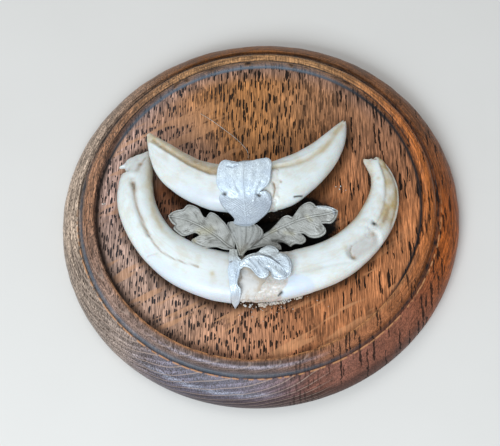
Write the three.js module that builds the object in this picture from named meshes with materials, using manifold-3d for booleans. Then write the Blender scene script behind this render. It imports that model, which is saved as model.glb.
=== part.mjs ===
// A boar tusk trophy: the two long lower tusks and the two short upper tusks of a wild boar,
// held on a round turned oak plaque by a sprig of cast pewter oak leaves.
// Millimetres, +Z up. The plaque lies on its back: the origin is the middle of its back face,
// +Y points from the lower tusks to the upper ones, and +Z comes out of the face.

import * as THREE from 'three';
import { mergeVertices } from 'three/addons/utils/BufferGeometryUtils.js';
import Module from 'manifold-3d';

const wasm = await Module();
wasm.setup();

// ---------------------------------------------------------------- driving dimensions

const GAP = 0.3; // clearance kept between pieces that touch

const PLAQUE_RADIUS = 100;
const PLAQUE_TURNS = 72; // facets round the plaque
const PLAQUE_CURVE_STEPS = 5; // facets along each moulded curve
const BACK_RADIUS = 98.6; // the flat back, inside its rounded edge
const BACK_EDGE_Z = 3; // where the rounded back edge meets the rim
const FLOOR_Z = 15.5; // the sunk middle that the tusks lie in
const FLOOR_RADIUS = 79.4;
const RIM_PULLS = [[100.1, 8.2], [96.6, 12.6]]; // the rim's curve is drawn towards these
const RIM_ARRIS = [90.0, 16.3]; // top of the rim, beside the quirk
const QUIRK_Z = 15.2; // floor of the narrow groove between the mouldings
const QUIRK_OUTER_RADIUS = 89.5;
const QUIRK_INNER_RADIUS = 88.0;
const BEAD_PULLS = [[87.2, 18.8], [85.2, 20.8]];
const BEAD_ARRIS = [81.4, 19.3]; // inner edge of the raised ring
const COVE_RADIUS = 81.0; // foot of the cove under that edge

const TUSK_STEPS_PER_STATION = 2;
const TUSK_SIDES = 14;
const TUSK_SIDE_POWER = 0.8; // under 1 gives the section fuller corners
const TUSK_TOP_POWER = 0.95;
const LOWER_BASE_POWER = 0.6; // the side of a lower tusk that lies on the oak is flattened
const UPPER_BASE_POWER = 0.95;
const LOWER_TUSK_BASE_Z = FLOOR_Z + GAP;

// Middle line of each tusk, root first: [x, y, width, thickness]. A lower tusk lies on the
// oak, so its height follows from its thickness.
const LOWER_LEFT = [
  [-11.2, -41.4, 25.0, 13.5],
  [-18.5, -40.2, 24.6, 13.4],
  [-28.2, -36.9, 23.4, 13.0],
  [-37.9, -31.6, 22.2, 12.6],
  [-47.5, -23.5, 20.0, 12.0],
  [-54.9, -12.8, 19.2, 11.4],
  [-59.5, -1.3, 18.9, 10.6],
  [-60.6, 9.0, 17.5, 9.6],
  [-59.9, 17.5, 15.0, 8.0],
  [-59.6, 26.4, 10.6, 5.6],
];
const LOWER_RIGHT = [
  [-7.6, -42.6, 23.0, 13.5],
  [2.6, -41.8, 24.0, 13.5],
  [14.2, -40.7, 23.4, 13.3],
  [25.6, -37.9, 22.0, 12.8],
  [36.9, -33.4, 21.0, 12.2],
  [46.4, -26.6, 19.6, 11.6],
  [54.8, -17.4, 18.2, 10.8],
  [60.2, -7.1, 16.8, 9.8],
  [62.5, 2.5, 14.2, 8.6],
  [61.9, 11.2, 11.4, 7.4],
  [59.4, 18.4, 8.6, 5.8],
  [57.8, 22.0, 5.6, 4.0],
];

// The upper tusks stand clear of the oak on their bed: [x, y, z, width, thickness].
const UPPER_LEFT = [
  [-5.0, 4.0, 26.0, 26.4, 15.0],
  [-17.3, 4.8, 26.0, 24.8, 15.0],
  [-25.2, 7.0, 26.0, 22.8, 14.2],
  [-33.6, 10.9, 26.4, 20.8, 12.6],
  [-41.2, 16.8, 27.0, 18.4, 10.8],
  [-47.0, 23.9, 27.8, 13.4, 8.4],
  [-51.3, 30.0, 28.4, 7.0, 5.6],
  [-53.9, 34.4, 28.8, 2.0, 2.2],
];
const UPPER_RIGHT = [
  [6.5, 4.6, 26.0, 25.6, 15.0],
  [12.0, 6.1, 26.0, 25.2, 14.8],
  [18.6, 9.9, 25.6, 23.0, 14.0],
  [25.9, 15.3, 25.0, 19.8, 12.6],
  [33.4, 23.0, 24.2, 16.0, 10.8],
  [38.9, 31.3, 23.2, 11.4, 8.6],
  [42.3, 38.1, 22.4, 6.0, 5.4],
  [44.2, 42.2, 22.0, 1.8, 2.2],
];

// The root of the right lower tusk is broken off along a slant, and plaster makes it whole.
const ROOT_BREAK = { x: 5.4, y: -44.8, turn: -38, size: 60 }; // turn in degrees about Z
const PLASTER_SHRINK = 0.6; // how far the plaster stands back from the tusk's own surface

// Lump of plaster that joins the roots of the two upper tusks, under the cap leaf.
const PACKING_START = [-4.6, 4.0, 26.0, 25.0, 13.8];
const PACKING_END = [6.1, 4.4, 26.0, 24.2, 13.6];

// Mound of dark filler on the oak that carries the upper tusks and the sprig.
const BED = { x: -1.5, y: 1.5, halfLength: 24, halfWidth: 12.5, height: 8, turns: 32, rings: 16 };

const LEAF_SIDES = 10;
const LEAF_STEPS = 22;
const LEAF_THICKNESS = 1.8;
const LEAF_RIB = 0.5; // how far the midrib stands above the blade
const LEAF_RIB_POWER = 4; // how narrow the midrib is

const TUSK_IVORY = { color: 0xe6e2d2, roughness: 0.42, metalness: 0 };
const OAK = { color: 0x7a3d22, roughness: 0.5, metalness: 0 };
const PEWTER = { color: 0xa9aaa6, roughness: 0.45, metalness: 0.9 };
const PLASTER = { color: 0xd8cbb8, roughness: 0.9, metalness: 0 };
const FILLER = { color: 0x2c1d15, roughness: 0.85, metalness: 0 };

// Each leaf: its midrib, root first, and the reach of its lobes left and right of the midrib
// as [place along the midrib from 0 to 1, reach]. The lobes lean towards the tip by lean degrees.
const LEAVES = {
  leaf_cap: {
    midrib: [
      [-8.4, -30.4, 26.8], [-5.7, -22.2, 26.2], [-4.5, -16.6, 27.8], [-4.6, -12.2, 31.8],
      [-5.1, -7.1, 34.4], [-5.3, -0.9, 36.0], [-5.3, 6.0, 36.4], [-5.2, 13.3, 35.0],
    ],
    left: [[0, 3], [0.14, 11], [0.21, 8], [0.31, 8.1], [0.42, 11], [0.5, 13.4], [0.58, 9.8],
      [0.63, 13.6], [0.72, 16], [0.89, 16.1], [0.96, 10], [1, 4]],
    right: [[0, 3], [0.08, 4.4], [0.14, 8.4], [0.22, 4.9], [0.27, 10], [0.32, 15.6],
      [0.42, 14.4], [0.53, 10.1], [0.63, 16.5], [0.83, 16.8], [0.96, 12], [1, 5]],
    lean: 62,
    droop: 0.006,
  },
  leaf_left: {
    midrib: [
      [-9.6, -29.8, 27.4], [-16.0, -25.2, 25.4], [-21.7, -19.9, 24.4], [-26.9, -15.4, 24.2],
      [-32.4, -12.0, 24.0], [-37.4, -9.8, 23.8], [-41.4, -8.4, 23.4],
    ],
    left: [[0, 1], [0.06, 2.6], [0.15, 6.4], [0.3, 8.6], [0.39, 5.2], [0.45, 9.8],
      [0.54, 11.2], [0.68, 8.9], [0.85, 5.4], [1, 2]],
    right: [[0, 2.5], [0.1, 7], [0.23, 10.6], [0.33, 11.7], [0.43, 7.1], [0.52, 9.6],
      [0.67, 8.9], [0.74, 5.3], [0.87, 3.8], [1, 1.7]],
    lean: 52,
    droop: 0.006,
  },
  leaf_right: {
    midrib: [
      [-7.6, -30.0, 25.6], [-0.4, -25.2, 23.6], [6.8, -21.8, 24.2], [13.9, -18.1, 25.0],
      [21.6, -14.6, 25.2], [28.9, -12.0, 25.0], [36.2, -10.5, 24.4],
    ],
    left: [[0, 1.5], [0.2, 4.4], [0.32, 3.6], [0.44, 8], [0.54, 5.2], [0.6, 9.2], [0.69, 10.9],
      [0.8, 5.3], [0.86, 6.4], [0.96, 4.6], [1, 2.5]],
    right: [[0, 1.5], [0.14, 3.9], [0.28, 5.1], [0.34, 11.3], [0.41, 12.4], [0.48, 11.2],
      [0.51, 7], [0.56, 12.2], [0.62, 13.2], [0.7, 12.1], [0.77, 5.8], [0.88, 5.9], [1, 2.5]],
    lean: 54,
    droop: 0.006,
  },
  leaf_curled: {
    midrib: [
      [-8.6, -36.6, 30.9], [-3.4, -35.6, 31.6], [3.2, -35.6, 32.2], [8.8, -37.0, 32.2],
      [14.0, -39.7, 31.6], [17.2, -42.5, 30.8],
    ],
    left: [[0, 1.5], [0.19, 4], [0.42, 7], [0.58, 5.3], [0.67, 5.9], [0.79, 4.8], [1, 1.5]],
    right: [[0, 1.5], [0.07, 6.4], [0.22, 8.9], [0.46, 7], [0.53, 9.4], [0.72, 7.1], [1, 1.5]],
    lean: 66,
    droop: 0.012,
  },
  strap: {
    midrib: [
      [-8.4, -29.4, 27.0], [-9.3, -34.2, 30.6], [-10.3, -39.0, 31.6], [-10.5, -44.1, 31.4],
      [-9.9, -49.4, 30.2], [-10.2, -53.8, 27.0], [-10.4, -56.6, 21.4], [-10.3, -56.4, 17.4],
    ],
    left: [[0, 1.6], [0.2, 2.4], [0.34, 2.8], [0.6, 2.6], [0.85, 2.2], [1, 0.5]],
    right: [[0, 1.6], [0.2, 3.0], [0.34, 1.8], [0.6, 2.8], [0.85, 2.0], [1, 0.5]],
    lean: 90,
    droop: 0.05,
  },
};

// The pieces that each piece of the sprig springs from.
const SPRIG_STEMS = {
  leaf_cap: ['strap'],
  leaf_left: ['strap', 'leaf_cap'],
  leaf_right: ['strap', 'leaf_cap'],
  leaf_curled: ['strap'],
  strap: [],
};

// ---------------------------------------------------------------- solids

function toManifold(geometry) {
  const bare = geometry.clone();
  bare.deleteAttribute('normal');
  bare.deleteAttribute('uv');
  const merged = mergeVertices(bare, 1e-4);
  return new wasm.Manifold(new wasm.Mesh({
    numProp: 3,
    vertProperties: new Float32Array(merged.attributes.position.array),
    triVerts: new Uint32Array(merged.index.array),
  }));
}

function toGeometry(manifold) {
  const mesh = manifold.getMesh();
  const geometry = new THREE.BufferGeometry();
  geometry.setAttribute('position', new THREE.BufferAttribute(mesh.vertProperties, 3));
  geometry.setIndex(new THREE.BufferAttribute(mesh.triVerts, 1));
  geometry.computeVertexNormals();
  return geometry;
}

function without(geometry, ...cutters) {
  let body = toManifold(geometry);
  for (const cutter of cutters) {
    body = body.subtract(toManifold(cutter));
  }
  return toGeometry(body);
}

function within(geometry, keeper) {
  return toGeometry(toManifold(geometry).intersect(toManifold(keeper)));
}

function curve(points) {
  return new THREE.CatmullRomCurve3(points.map((p) => new THREE.Vector3(...p)), false, 'catmullrom');
}

// A closed body swept along a path. section(t, angle) gives the point of the ring at that
// angle as [across, up, along], measured from the path's point at t. overhang moves the two
// end faces outwards.
function loft(path, section, steps, sides, overhang = 0) {
  const geometry = new THREE.CylinderGeometry(1, 1, 1, sides, steps);
  const ring = geometry.attributes.position;
  const point = new THREE.Vector3();
  for (let i = 0; i < ring.count; i += 1) {
    const t = THREE.MathUtils.clamp(ring.getY(i) + 0.5, 0, 1);
    const onPath = Math.hypot(ring.getX(i), ring.getZ(i)) < 0.5;
    const angle = Math.atan2(ring.getZ(i), ring.getX(i));
    const [across, up, along] = onPath ? [0, 0, 0] : section(t, angle);
    const forward = path.getTangent(t);
    const lift = new THREE.Vector3(0, 0, 1).addScaledVector(forward, -forward.z).normalize();
    const side = new THREE.Vector3().crossVectors(forward, lift);
    path.getPoint(t, point);
    const beyond = overhang * (Number(t === 1) - Number(t === 0));
    point.addScaledVector(side, across).addScaledVector(lift, up);
    point.addScaledVector(forward, along + beyond);
    ring.setXYZ(i, point.x, point.y, point.z);
  }
  return geometry;
}

function signedPower(value, power) {
  return Math.sign(value) * Math.abs(value) ** power;
}

// Stations are [x, y, z, width, thickness]; grow moves the whole surface outwards.
function tuskGeometry(stations, basePower, grow = 0) {
  const path = curve(stations.map(([x, y, z]) => [x, y, z]));
  const sizes = curve(stations.map(([, , , width, thickness]) => [width, thickness, 0]));
  const section = (t, angle) => {
    const size = sizes.getPoint(t);
    const upPower = Math.sin(angle) < 0 ? basePower : TUSK_TOP_POWER;
    return [
      (size.x / 2 + grow) * signedPower(Math.cos(angle), TUSK_SIDE_POWER),
      (size.y / 2 + grow) * signedPower(Math.sin(angle), upPower),
      0,
    ];
  };
  return loft(path, section, (stations.length - 1) * TUSK_STEPS_PER_STATION, TUSK_SIDES, grow);
}

// A lower tusk lies on the oak, so its middle line is half its thickness above it.
function lowerTuskGeometry(stations, grow = 0) {
  const raised = stations.map(([x, y, width, thickness]) => (
    [x, y, LOWER_TUSK_BASE_Z + thickness / 2, width, thickness]
  ));
  return tuskGeometry(raised, LOWER_BASE_POWER, grow);
}

function upperTuskGeometry(stations, grow = 0) {
  return tuskGeometry(stations, UPPER_BASE_POWER, grow);
}

function between(table, place) {
  const next = Math.max(1, table.findIndex(([at]) => at >= place));
  const [from, low] = table[next - 1];
  const [to, high] = table[next];
  return THREE.MathUtils.mapLinear(place, from, to, low, high);
}

function leafGeometry({ midrib, left, right, lean, droop }, grow = 0) {
  const path = curve(midrib);
  const leanAngle = THREE.MathUtils.degToRad(lean);
  const section = (t, angle) => {
    const lobe = between(Math.cos(angle) < 0 ? left : right, t) + grow;
    const reach = lobe * Math.abs(Math.cos(angle));
    const across = Math.sign(Math.cos(angle)) * reach * Math.sin(leanAngle);
    const rib = Math.max(0, Math.sin(angle)) ** LEAF_RIB_POWER * LEAF_RIB;
    const blade = (LEAF_THICKNESS / 2 + grow) * Math.sin(angle);
    return [across, blade + rib - droop * reach * reach, reach * Math.cos(leanAngle)];
  };
  return loft(path, section, LEAF_STEPS, LEAF_SIDES, grow);
}

// ---------------------------------------------------------------- sub-parts

function plaqueGeometry() {
  const profile = new THREE.Path();
  profile.moveTo(0, 0);
  profile.lineTo(BACK_RADIUS, 0);
  profile.quadraticCurveTo(PLAQUE_RADIUS, 0, PLAQUE_RADIUS, BACK_EDGE_Z);
  profile.bezierCurveTo(...RIM_PULLS[0], ...RIM_PULLS[1], ...RIM_ARRIS);
  profile.lineTo(QUIRK_OUTER_RADIUS, QUIRK_Z);
  profile.lineTo(QUIRK_INNER_RADIUS, QUIRK_Z);
  profile.bezierCurveTo(...BEAD_PULLS[0], ...BEAD_PULLS[1], ...BEAD_ARRIS);
  profile.quadraticCurveTo(COVE_RADIUS, FLOOR_Z, FLOOR_RADIUS, FLOOR_Z);
  profile.lineTo(0, FLOOR_Z);
  const geometry = new THREE.LatheGeometry(profile.getPoints(PLAQUE_CURVE_STEPS), PLAQUE_TURNS);
  geometry.rotateX(Math.PI / 2);
  return geometry;
}

// The part of space on the root's side of the break, moved back by clear along the tusk.
function rootBreakGeometry(clear) {
  const { x, y, turn, size } = ROOT_BREAK;
  const geometry = new THREE.BoxGeometry(size, size, size);
  geometry.translate(-clear - size / 2, 0, 0);
  geometry.rotateZ(THREE.MathUtils.degToRad(turn));
  geometry.translate(x, y, FLOOR_Z);
  return geometry;
}

function lowerRightTusk() {
  return without(lowerTuskGeometry(LOWER_RIGHT), rootBreakGeometry(0));
}

function lowerPlaster() {
  const root = LOWER_RIGHT.slice(0, 4);
  return within(lowerTuskGeometry(root, -PLASTER_SHRINK), rootBreakGeometry(GAP));
}

function upperPlaster() {
  return without(
    upperTuskGeometry([PACKING_START, PACKING_END]),
    upperTuskGeometry(UPPER_LEFT, GAP),
    upperTuskGeometry(UPPER_RIGHT, GAP),
  );
}

function bedGeometry() {
  const mound = new THREE.SphereGeometry(1, BED.turns, BED.rings);
  mound.rotateX(Math.PI / 2);
  mound.scale(BED.halfLength, BED.halfWidth, BED.height);
  mound.translate(BED.x, BED.y, FLOOR_Z + GAP);
  const below = new THREE.BoxGeometry(4 * BED.halfLength, 4 * BED.halfWidth, 2 * BED.height);
  below.translate(BED.x, BED.y, FLOOR_Z + GAP - BED.height);
  return without(
    mound,
    below,
    upperTuskGeometry(UPPER_LEFT, GAP),
    upperTuskGeometry(UPPER_RIGHT, GAP),
    upperTuskGeometry([PACKING_START, PACKING_END], GAP),
  );
}

// The sprig is split at its forks: each piece is cut clear of the pieces it springs from.
function sprigPiece(name) {
  const stems = SPRIG_STEMS[name].map((stem) => leafGeometry(LEAVES[stem], GAP));
  return without(leafGeometry(LEAVES[name]), ...stems);
}

const group = new THREE.Group();

function add(name, geometry, look) {
  const mesh = new THREE.Mesh(geometry, new THREE.MeshStandardMaterial(look));
  mesh.name = name;
  group.add(mesh);
}

add('plaque', plaqueGeometry(), OAK);
add('lower_tusk_left', lowerTuskGeometry(LOWER_LEFT), TUSK_IVORY);
add('lower_tusk_right', lowerRightTusk(), TUSK_IVORY);
add('upper_tusk_left', upperTuskGeometry(UPPER_LEFT), TUSK_IVORY);
add('upper_tusk_right', upperTuskGeometry(UPPER_RIGHT), TUSK_IVORY);
add('plaster_lower', lowerPlaster(), PLASTER);
add('plaster_upper', upperPlaster(), PLASTER);
add('glue_bed', bedGeometry(), FILLER);
for (const name of Object.keys(LEAVES)) {
  add(name, sprigPiece(name), PEWTER);
}

export default group;
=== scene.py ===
"""Looks of the boar tusk trophy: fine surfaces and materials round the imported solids.

Shapes are worked out in millimetres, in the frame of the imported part, and become metres when a
mesh is made. +Z comes out of the plaque's face and +Y points from the lower tusks to the upper.
"""

import math

import bmesh
import bpy
import numpy as np
from mathutils import Matrix, Vector


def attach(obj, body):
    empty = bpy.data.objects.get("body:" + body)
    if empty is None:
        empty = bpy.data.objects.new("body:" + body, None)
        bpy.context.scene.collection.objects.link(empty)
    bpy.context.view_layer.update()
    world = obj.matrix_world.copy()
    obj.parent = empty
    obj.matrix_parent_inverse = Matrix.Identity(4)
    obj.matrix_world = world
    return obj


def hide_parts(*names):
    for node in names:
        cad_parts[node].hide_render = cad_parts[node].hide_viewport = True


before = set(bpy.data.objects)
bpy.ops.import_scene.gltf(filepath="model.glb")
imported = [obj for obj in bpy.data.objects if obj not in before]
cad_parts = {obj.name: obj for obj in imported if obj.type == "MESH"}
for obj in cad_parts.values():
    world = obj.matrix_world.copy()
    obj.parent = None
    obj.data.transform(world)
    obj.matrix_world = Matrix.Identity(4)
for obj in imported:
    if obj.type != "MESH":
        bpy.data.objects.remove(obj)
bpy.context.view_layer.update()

MM = 0.001

# ---------------------------------------------------------------- driving dimensions

HAIR_RADIUS = 0.11
GAP = 0.3  # clearance kept between pieces that touch
FLOOR_Z = 15.5  # the sunk middle of the plaque, which the tusks lie in
LOWER_TUSK_BASE_Z = FLOOR_Z + GAP

# The plaque's turned profile
PLAQUE_RADIUS = 100
BACK_RADIUS = 98.6
BACK_EDGE_Z = 3
FLOOR_RADIUS = 79.4
COVE_RADIUS = 81.0
RIM_PULLS = [(100.1, 8.2), (96.6, 12.6)]
RIM_ARRIS = (90.0, 16.3)
QUIRK_Z = 15.2
QUIRK_OUTER_RADIUS = 89.5
QUIRK_INNER_RADIUS = 88.0
BEAD_PULLS = [(87.2, 18.8), (85.2, 20.8)]
BEAD_ARRIS = (81.4, 19.3)
PLAQUE_TURNS = 480

# Middle lines of the tusks, root first: [x, y, width, thickness] and [x, y, z, width, thickness]
LOWER_LEFT = [
    [-11.2, -41.4, 25.0, 13.5],
    [-18.5, -40.2, 24.6, 13.4],
    [-28.2, -36.9, 23.4, 13.0],
    [-37.9, -31.6, 22.2, 12.6],
    [-47.5, -23.5, 20.0, 12.0],
    [-54.9, -12.8, 19.2, 11.4],
    [-59.5, -1.3, 18.9, 10.6],
    [-60.6, 9.0, 17.5, 9.6],
    [-59.9, 17.5, 15.0, 8.0],
    [-59.6, 26.4, 10.6, 5.6],
]
LOWER_RIGHT = [
    [-7.6, -42.6, 23.0, 13.5],
    [2.6, -41.8, 24.0, 13.5],
    [14.2, -40.7, 23.4, 13.3],
    [25.6, -37.9, 22.0, 12.8],
    [36.9, -33.4, 21.0, 12.2],
    [46.4, -26.6, 19.6, 11.6],
    [54.8, -17.4, 18.2, 10.8],
    [60.2, -7.1, 16.8, 9.8],
    [62.5, 2.5, 14.2, 8.6],
    [61.9, 11.2, 11.4, 7.4],
    [59.4, 18.4, 8.6, 5.8],
    [57.8, 22.0, 5.6, 4.0],
]
UPPER_LEFT = [
    [-5.0, 4.0, 26.0, 26.4, 15.0],
    [-17.3, 4.8, 26.0, 24.8, 15.0],
    [-25.2, 7.0, 26.0, 22.8, 14.2],
    [-33.6, 10.9, 26.4, 20.8, 12.6],
    [-41.2, 16.8, 27.0, 18.4, 10.8],
    [-47.0, 23.9, 27.8, 13.4, 8.4],
    [-51.3, 30.0, 28.4, 7.0, 5.6],
    [-53.9, 34.4, 28.8, 2.0, 2.2],
]
UPPER_RIGHT = [
    [-4.0, 3.2, 26.0, 25.2, 14.6],
    [4.0, 3.9, 26.0, 25.4, 14.8],
    [12.0, 6.1, 26.0, 25.2, 14.8],
    [18.6, 9.9, 25.6, 23.0, 14.0],
    [25.9, 15.3, 25.0, 19.8, 12.6],
    [33.4, 23.0, 24.2, 16.0, 10.8],
    [38.9, 31.3, 23.2, 11.4, 8.6],
    [42.3, 38.1, 22.4, 6.0, 5.4],
    [44.2, 42.2, 22.0, 1.8, 2.2],
]
TUSK_STEPS = 260
TUSK_SIDES = 120
SIDE_POWER = 0.8  # under 1 gives the section fuller corners
TOP_POWER = 0.95
LOWER_BASE_POWER = 0.6
UPPER_BASE_POWER = 0.95
BREAK_SCALE = 90  # turns a place along the right lower tusk into the fall-off beside its break
ROOT_BREAK = {"x": 5.4, "y": -44.8, "turn": -38}  # the slanting break of the right lower tusk

# The sprig. Each leaf is laid out as the camera sees it, in pixels of the view: stations of its
# midrib as [across, down, height in millimetres], and its two edges as [place along the midrib,
# across, down]. far is the edge on the left of the midrib, seen from its foot, and near the other.
LEAF_THICKNESS = 1.6
LEAF_STEPS = 290
LEAF_TOP_SIDES = 110
LEAF_UNDER_SIDES = 12
LAST_LOBE = 0.86  # place along the midrib beyond which no lobe has a vein
CAP_LEAF = {
    "midrib": [
        [246.5, 226, 29.6], [246, 219, 30.6], [245.3, 211, 31.8], [244.6, 203, 33.2],
        [243.8, 195, 34.4], [243.2, 187, 35.4], [243, 179, 36.0], [243.2, 171, 36.4],
        [243.6, 165, 36.2], [244, 161.4, 35.2],
    ],
    "far": [
        [0, 246.5, 226], [0.02, 240, 225.4], [0.05, 233.4, 223.4], [0.09, 234.4, 219.6],
        [0.13, 231.6, 215.6], [0.18, 228, 212.2], [0.24, 224, 208.2], [0.3, 221, 203.8],
        [0.36, 219.2, 199], [0.41, 220, 195.2], [0.45, 224.4, 193.4], [0.48, 221.4, 191.6],
        [0.52, 218.4, 187.8], [0.58, 216.2, 182.5], [0.64, 216.6, 177.5], [0.7, 216.8, 172],
        [0.77, 218, 166.4], [0.84, 220.6, 162], [0.89, 224.6, 160.2], [0.93, 229, 161.6],
        [0.96, 232.6, 164], [0.98, 236.5, 162.8], [1, 244, 161.4],
    ],
    "near": [
        [0, 246.5, 226], [0.02, 251, 225.4], [0.05, 255.6, 223.4], [0.12, 261.5, 218.6],
        [0.19, 267, 213.6], [0.25, 270.4, 208.4], [0.31, 272, 202.4], [0.36, 271.8, 197],
        [0.4, 269.4, 193.2], [0.43, 265.2, 191.8], [0.455, 261.4, 193], [0.475, 259, 194],
        [0.5, 260.8, 191.2], [0.54, 264.2, 188.2], [0.58, 267.6, 185], [0.63, 270, 180.8],
        [0.7, 271, 175], [0.77, 271.7, 168.5], [0.83, 272.2, 163.6], [0.88, 270.8, 160],
        [0.92, 267.4, 158], [0.95, 263.4, 159], [0.975, 259, 161], [0.99, 252, 161], [1, 244, 161.4],
    ],
}
LEFT_LEAF = {
    "midrib": [
        [235, 250, 28.8], [228, 246, 27.2], [220, 239, 25.6], [212, 233.3, 24.8], [203, 227.5, 24.4],
        [195, 223.3, 24.2], [187, 220, 24.0], [178, 217.8, 23.8], [168.5, 216.5, 23.4],
    ],
    "far": [
        [0, 235, 250], [0.05, 229, 249.6], [0.1, 222, 248.8], [0.14, 217, 247.1], [0.18, 211, 247.2],
        [0.23, 204, 248.4], [0.29, 196, 245.5], [0.34, 191.3, 241.3], [0.39, 194.5, 238.6],
        [0.44, 198.3, 237], [0.48, 198.6, 234.8], [0.52, 195, 233.1], [0.56, 190, 234.6],
        [0.62, 182.5, 236.4], [0.69, 177, 232.6], [0.76, 173.5, 229], [0.82, 175, 226],
        [0.88, 172, 223.3], [0.94, 169.5, 219.5], [1, 168.5, 216.5],
    ],
    "near": [
        [0, 235, 250], [0.06, 235, 243], [0.12, 231, 233], [0.17, 226.5, 225], [0.22, 222, 219.8],
        [0.27, 216.5, 214.5], [0.31, 211, 212], [0.345, 208.2, 214], [0.375, 205.8, 217.6],
        [0.41, 203, 216], [0.46, 199.3, 209.2], [0.52, 194, 205.8], [0.57, 188.5, 204.6],
        [0.61, 185.6, 206.3], [0.66, 182.5, 209.2], [0.75, 176, 210.6], [0.86, 171, 213],
        [1, 168.5, 216.5],
    ],
}
RIGHT_LEAF = {
    "midrib": [
        [245, 250, 28.6], [254, 243, 26.8], [262, 237.5, 25.2], [271, 232.5, 24.6], [280, 228.3, 24.8],
        [290, 223.8, 25.0], [300, 219.7, 25.0], [311, 216.8, 25.0], [323, 214.8, 24.8], [337.6, 211.5, 24.4],
    ],
    "far": [
        [0, 245, 250], [0.05, 250, 243], [0.11, 256, 239], [0.18, 263, 235], [0.26, 270, 230.8],
        [0.32, 275, 226], [0.38, 281, 219], [0.42, 285, 216.2], [0.46, 289, 215.6],
        [0.49, 292.8, 217], [0.53, 296, 213], [0.57, 299.5, 207.8], [0.62, 304.5, 203.8],
        [0.67, 310, 202], [0.71, 314, 203.7], [0.74, 316.5, 206.4], [0.78, 320.5, 206],
        [0.84, 327, 206.4], [0.91, 333, 208.3], [0.96, 336.5, 210], [1, 338, 211.5],
    ],
    "near": [
        [0, 245, 250], [0.06, 252, 249.5], [0.12, 262, 247], [0.18, 272, 246.5], [0.22, 280.5, 250],
        [0.25, 281, 246.4], [0.28, 277.5, 243], [0.31, 282, 242.4], [0.34, 286.5, 244.2],
        [0.38, 290.5, 246.8], [0.41, 293, 245.3], [0.44, 296, 244.6], [0.48, 301, 244.7],
        [0.52, 305.5, 242], [0.55, 305.8, 239], [0.58, 303, 236.3], [0.61, 300, 234.3],
        [0.64, 304, 233.8], [0.67, 309, 237], [0.71, 314, 238.2], [0.75, 320, 237.3],
        [0.79, 325.3, 234], [0.82, 326, 230], [0.85, 323, 227.3], [0.87, 320.8, 225],
        [0.9, 325, 223.7], [0.93, 331, 223.6], [0.96, 335, 220], [0.98, 337.5, 215.5], [1, 338, 211.5],
    ],
}
CURLED_LEAF = {
    "midrib": [
        [239, 263, 32.0], [246, 259.8, 32.8], [253, 257.3, 33.4], [261, 256.8, 33.6],
        [269, 259, 33.4], [276, 263, 33.0], [282, 268.5, 32.4], [287, 277, 31.4],
    ],
    "far": [
        [0, 239, 263], [0.06, 243, 259.5], [0.12, 248, 255.5], [0.2, 254, 253.3], [0.27, 259, 251.5],
        [0.33, 263, 248.3], [0.4, 268, 245.8], [0.47, 273.5, 246.2], [0.53, 277.5, 249],
        [0.57, 279.3, 252], [0.6, 278, 254], [0.63, 281, 253], [0.69, 286, 254], [0.75, 290, 258],
        [0.81, 292.3, 263.5], [0.88, 292.5, 269.5], [0.95, 290.5, 275], [1, 287, 278],
    ],
    "near": [
        [0, 239, 263], [0.04, 239, 267.5], [0.08, 241, 269], [0.13, 244, 267], [0.18, 248.5, 267.8],
        [0.24, 252.5, 270.8], [0.3, 256, 274.8], [0.37, 259.5, 277.8], [0.44, 263.5, 278.8],
        [0.5, 267.5, 276.8], [0.54, 268.8, 273.5], [0.57, 267, 270], [0.6, 270.5, 271.5],
        [0.64, 272, 276.5], [0.7, 275.5, 279.3], [0.78, 280.5, 280.2], [0.88, 285, 279.3],
        [1, 287, 278],
    ],
}
SHEATH = {
    "midrib": [
        [241, 255, 31.0], [243.5, 247, 30.6], [245.5, 239, 29.6], [246.8, 231, 28.8], [247, 223, 28.4],
    ],
    "far": [
        [0, 239.5, 256], [0.15, 237, 249], [0.35, 235, 243], [0.55, 231.6, 236], [0.75, 228.4, 230],
        [0.9, 226.2, 226], [1, 227.5, 222.5],
    ],
    "near": [
        [0, 242.5, 256], [0.15, 247, 250.5], [0.35, 252.5, 246.5], [0.55, 258.5, 241.5],
        [0.75, 263, 236], [0.9, 262.8, 230.5], [1, 258, 226],
    ],
}
STRAP = {
    "midrib": [
        [233.5, 250, 30.4], [234, 257, 31.4], [234.5, 264, 32.0], [233.5, 271, 32.0], [234, 279, 31.6],
        [235, 287, 30.8], [235.3, 295, 27.8], [235.2, 302, 21.8], [235, 308.5, 16.6],
    ],
    "far": [
        [0, 229.5, 250], [0.125, 228.6, 257], [0.25, 229, 263], [0.375, 227.6, 270],
        [0.5, 228.6, 278], [0.625, 229.6, 287], [0.75, 231, 295], [0.875, 231.8, 302.5], [1, 235, 308.5],
    ],
    "near": [
        [0, 237.5, 250], [0.125, 238.8, 257], [0.25, 243.5, 262.5], [0.34, 241, 268.5],
        [0.44, 239.4, 275], [0.54, 237.6, 282], [0.6, 238.2, 286], [0.65, 240.6, 288.6],
        [0.72, 241.4, 292], [0.8, 240.4, 298], [0.9, 239, 303.5], [1, 235, 308.5],
    ],
}

# Camera, as on the real view of the trophy: from in front and well above, slightly rolled
CAMERA_DISTANCE = 600
CAMERA_TARGET = (-4.82, -2.46, 0)
CAMERA_AZIMUTH = 8.5
CAMERA_ELEVATION = 64.35
CAMERA_ROLL = -9.14
CAMERA_LENS = 85.18
SENSOR_WIDTH = 36
VIEW_SIZE = (500, 446)

# ---------------------------------------------------------------- numbers and curves


def smoothstep(low, high, value):
    """0 at low, 1 at high, and smooth in between; low may be the larger."""
    share = np.clip((value - low) / (high - low), 0, 1)
    return share * share * (3 - 2 * share)


def bump(distance, width):
    """A smooth hill, 1 where distance is 0."""
    return np.exp(-((distance / width) ** 2))


def signed_power(value, power):
    return np.sign(value) * np.abs(value) ** power


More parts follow.
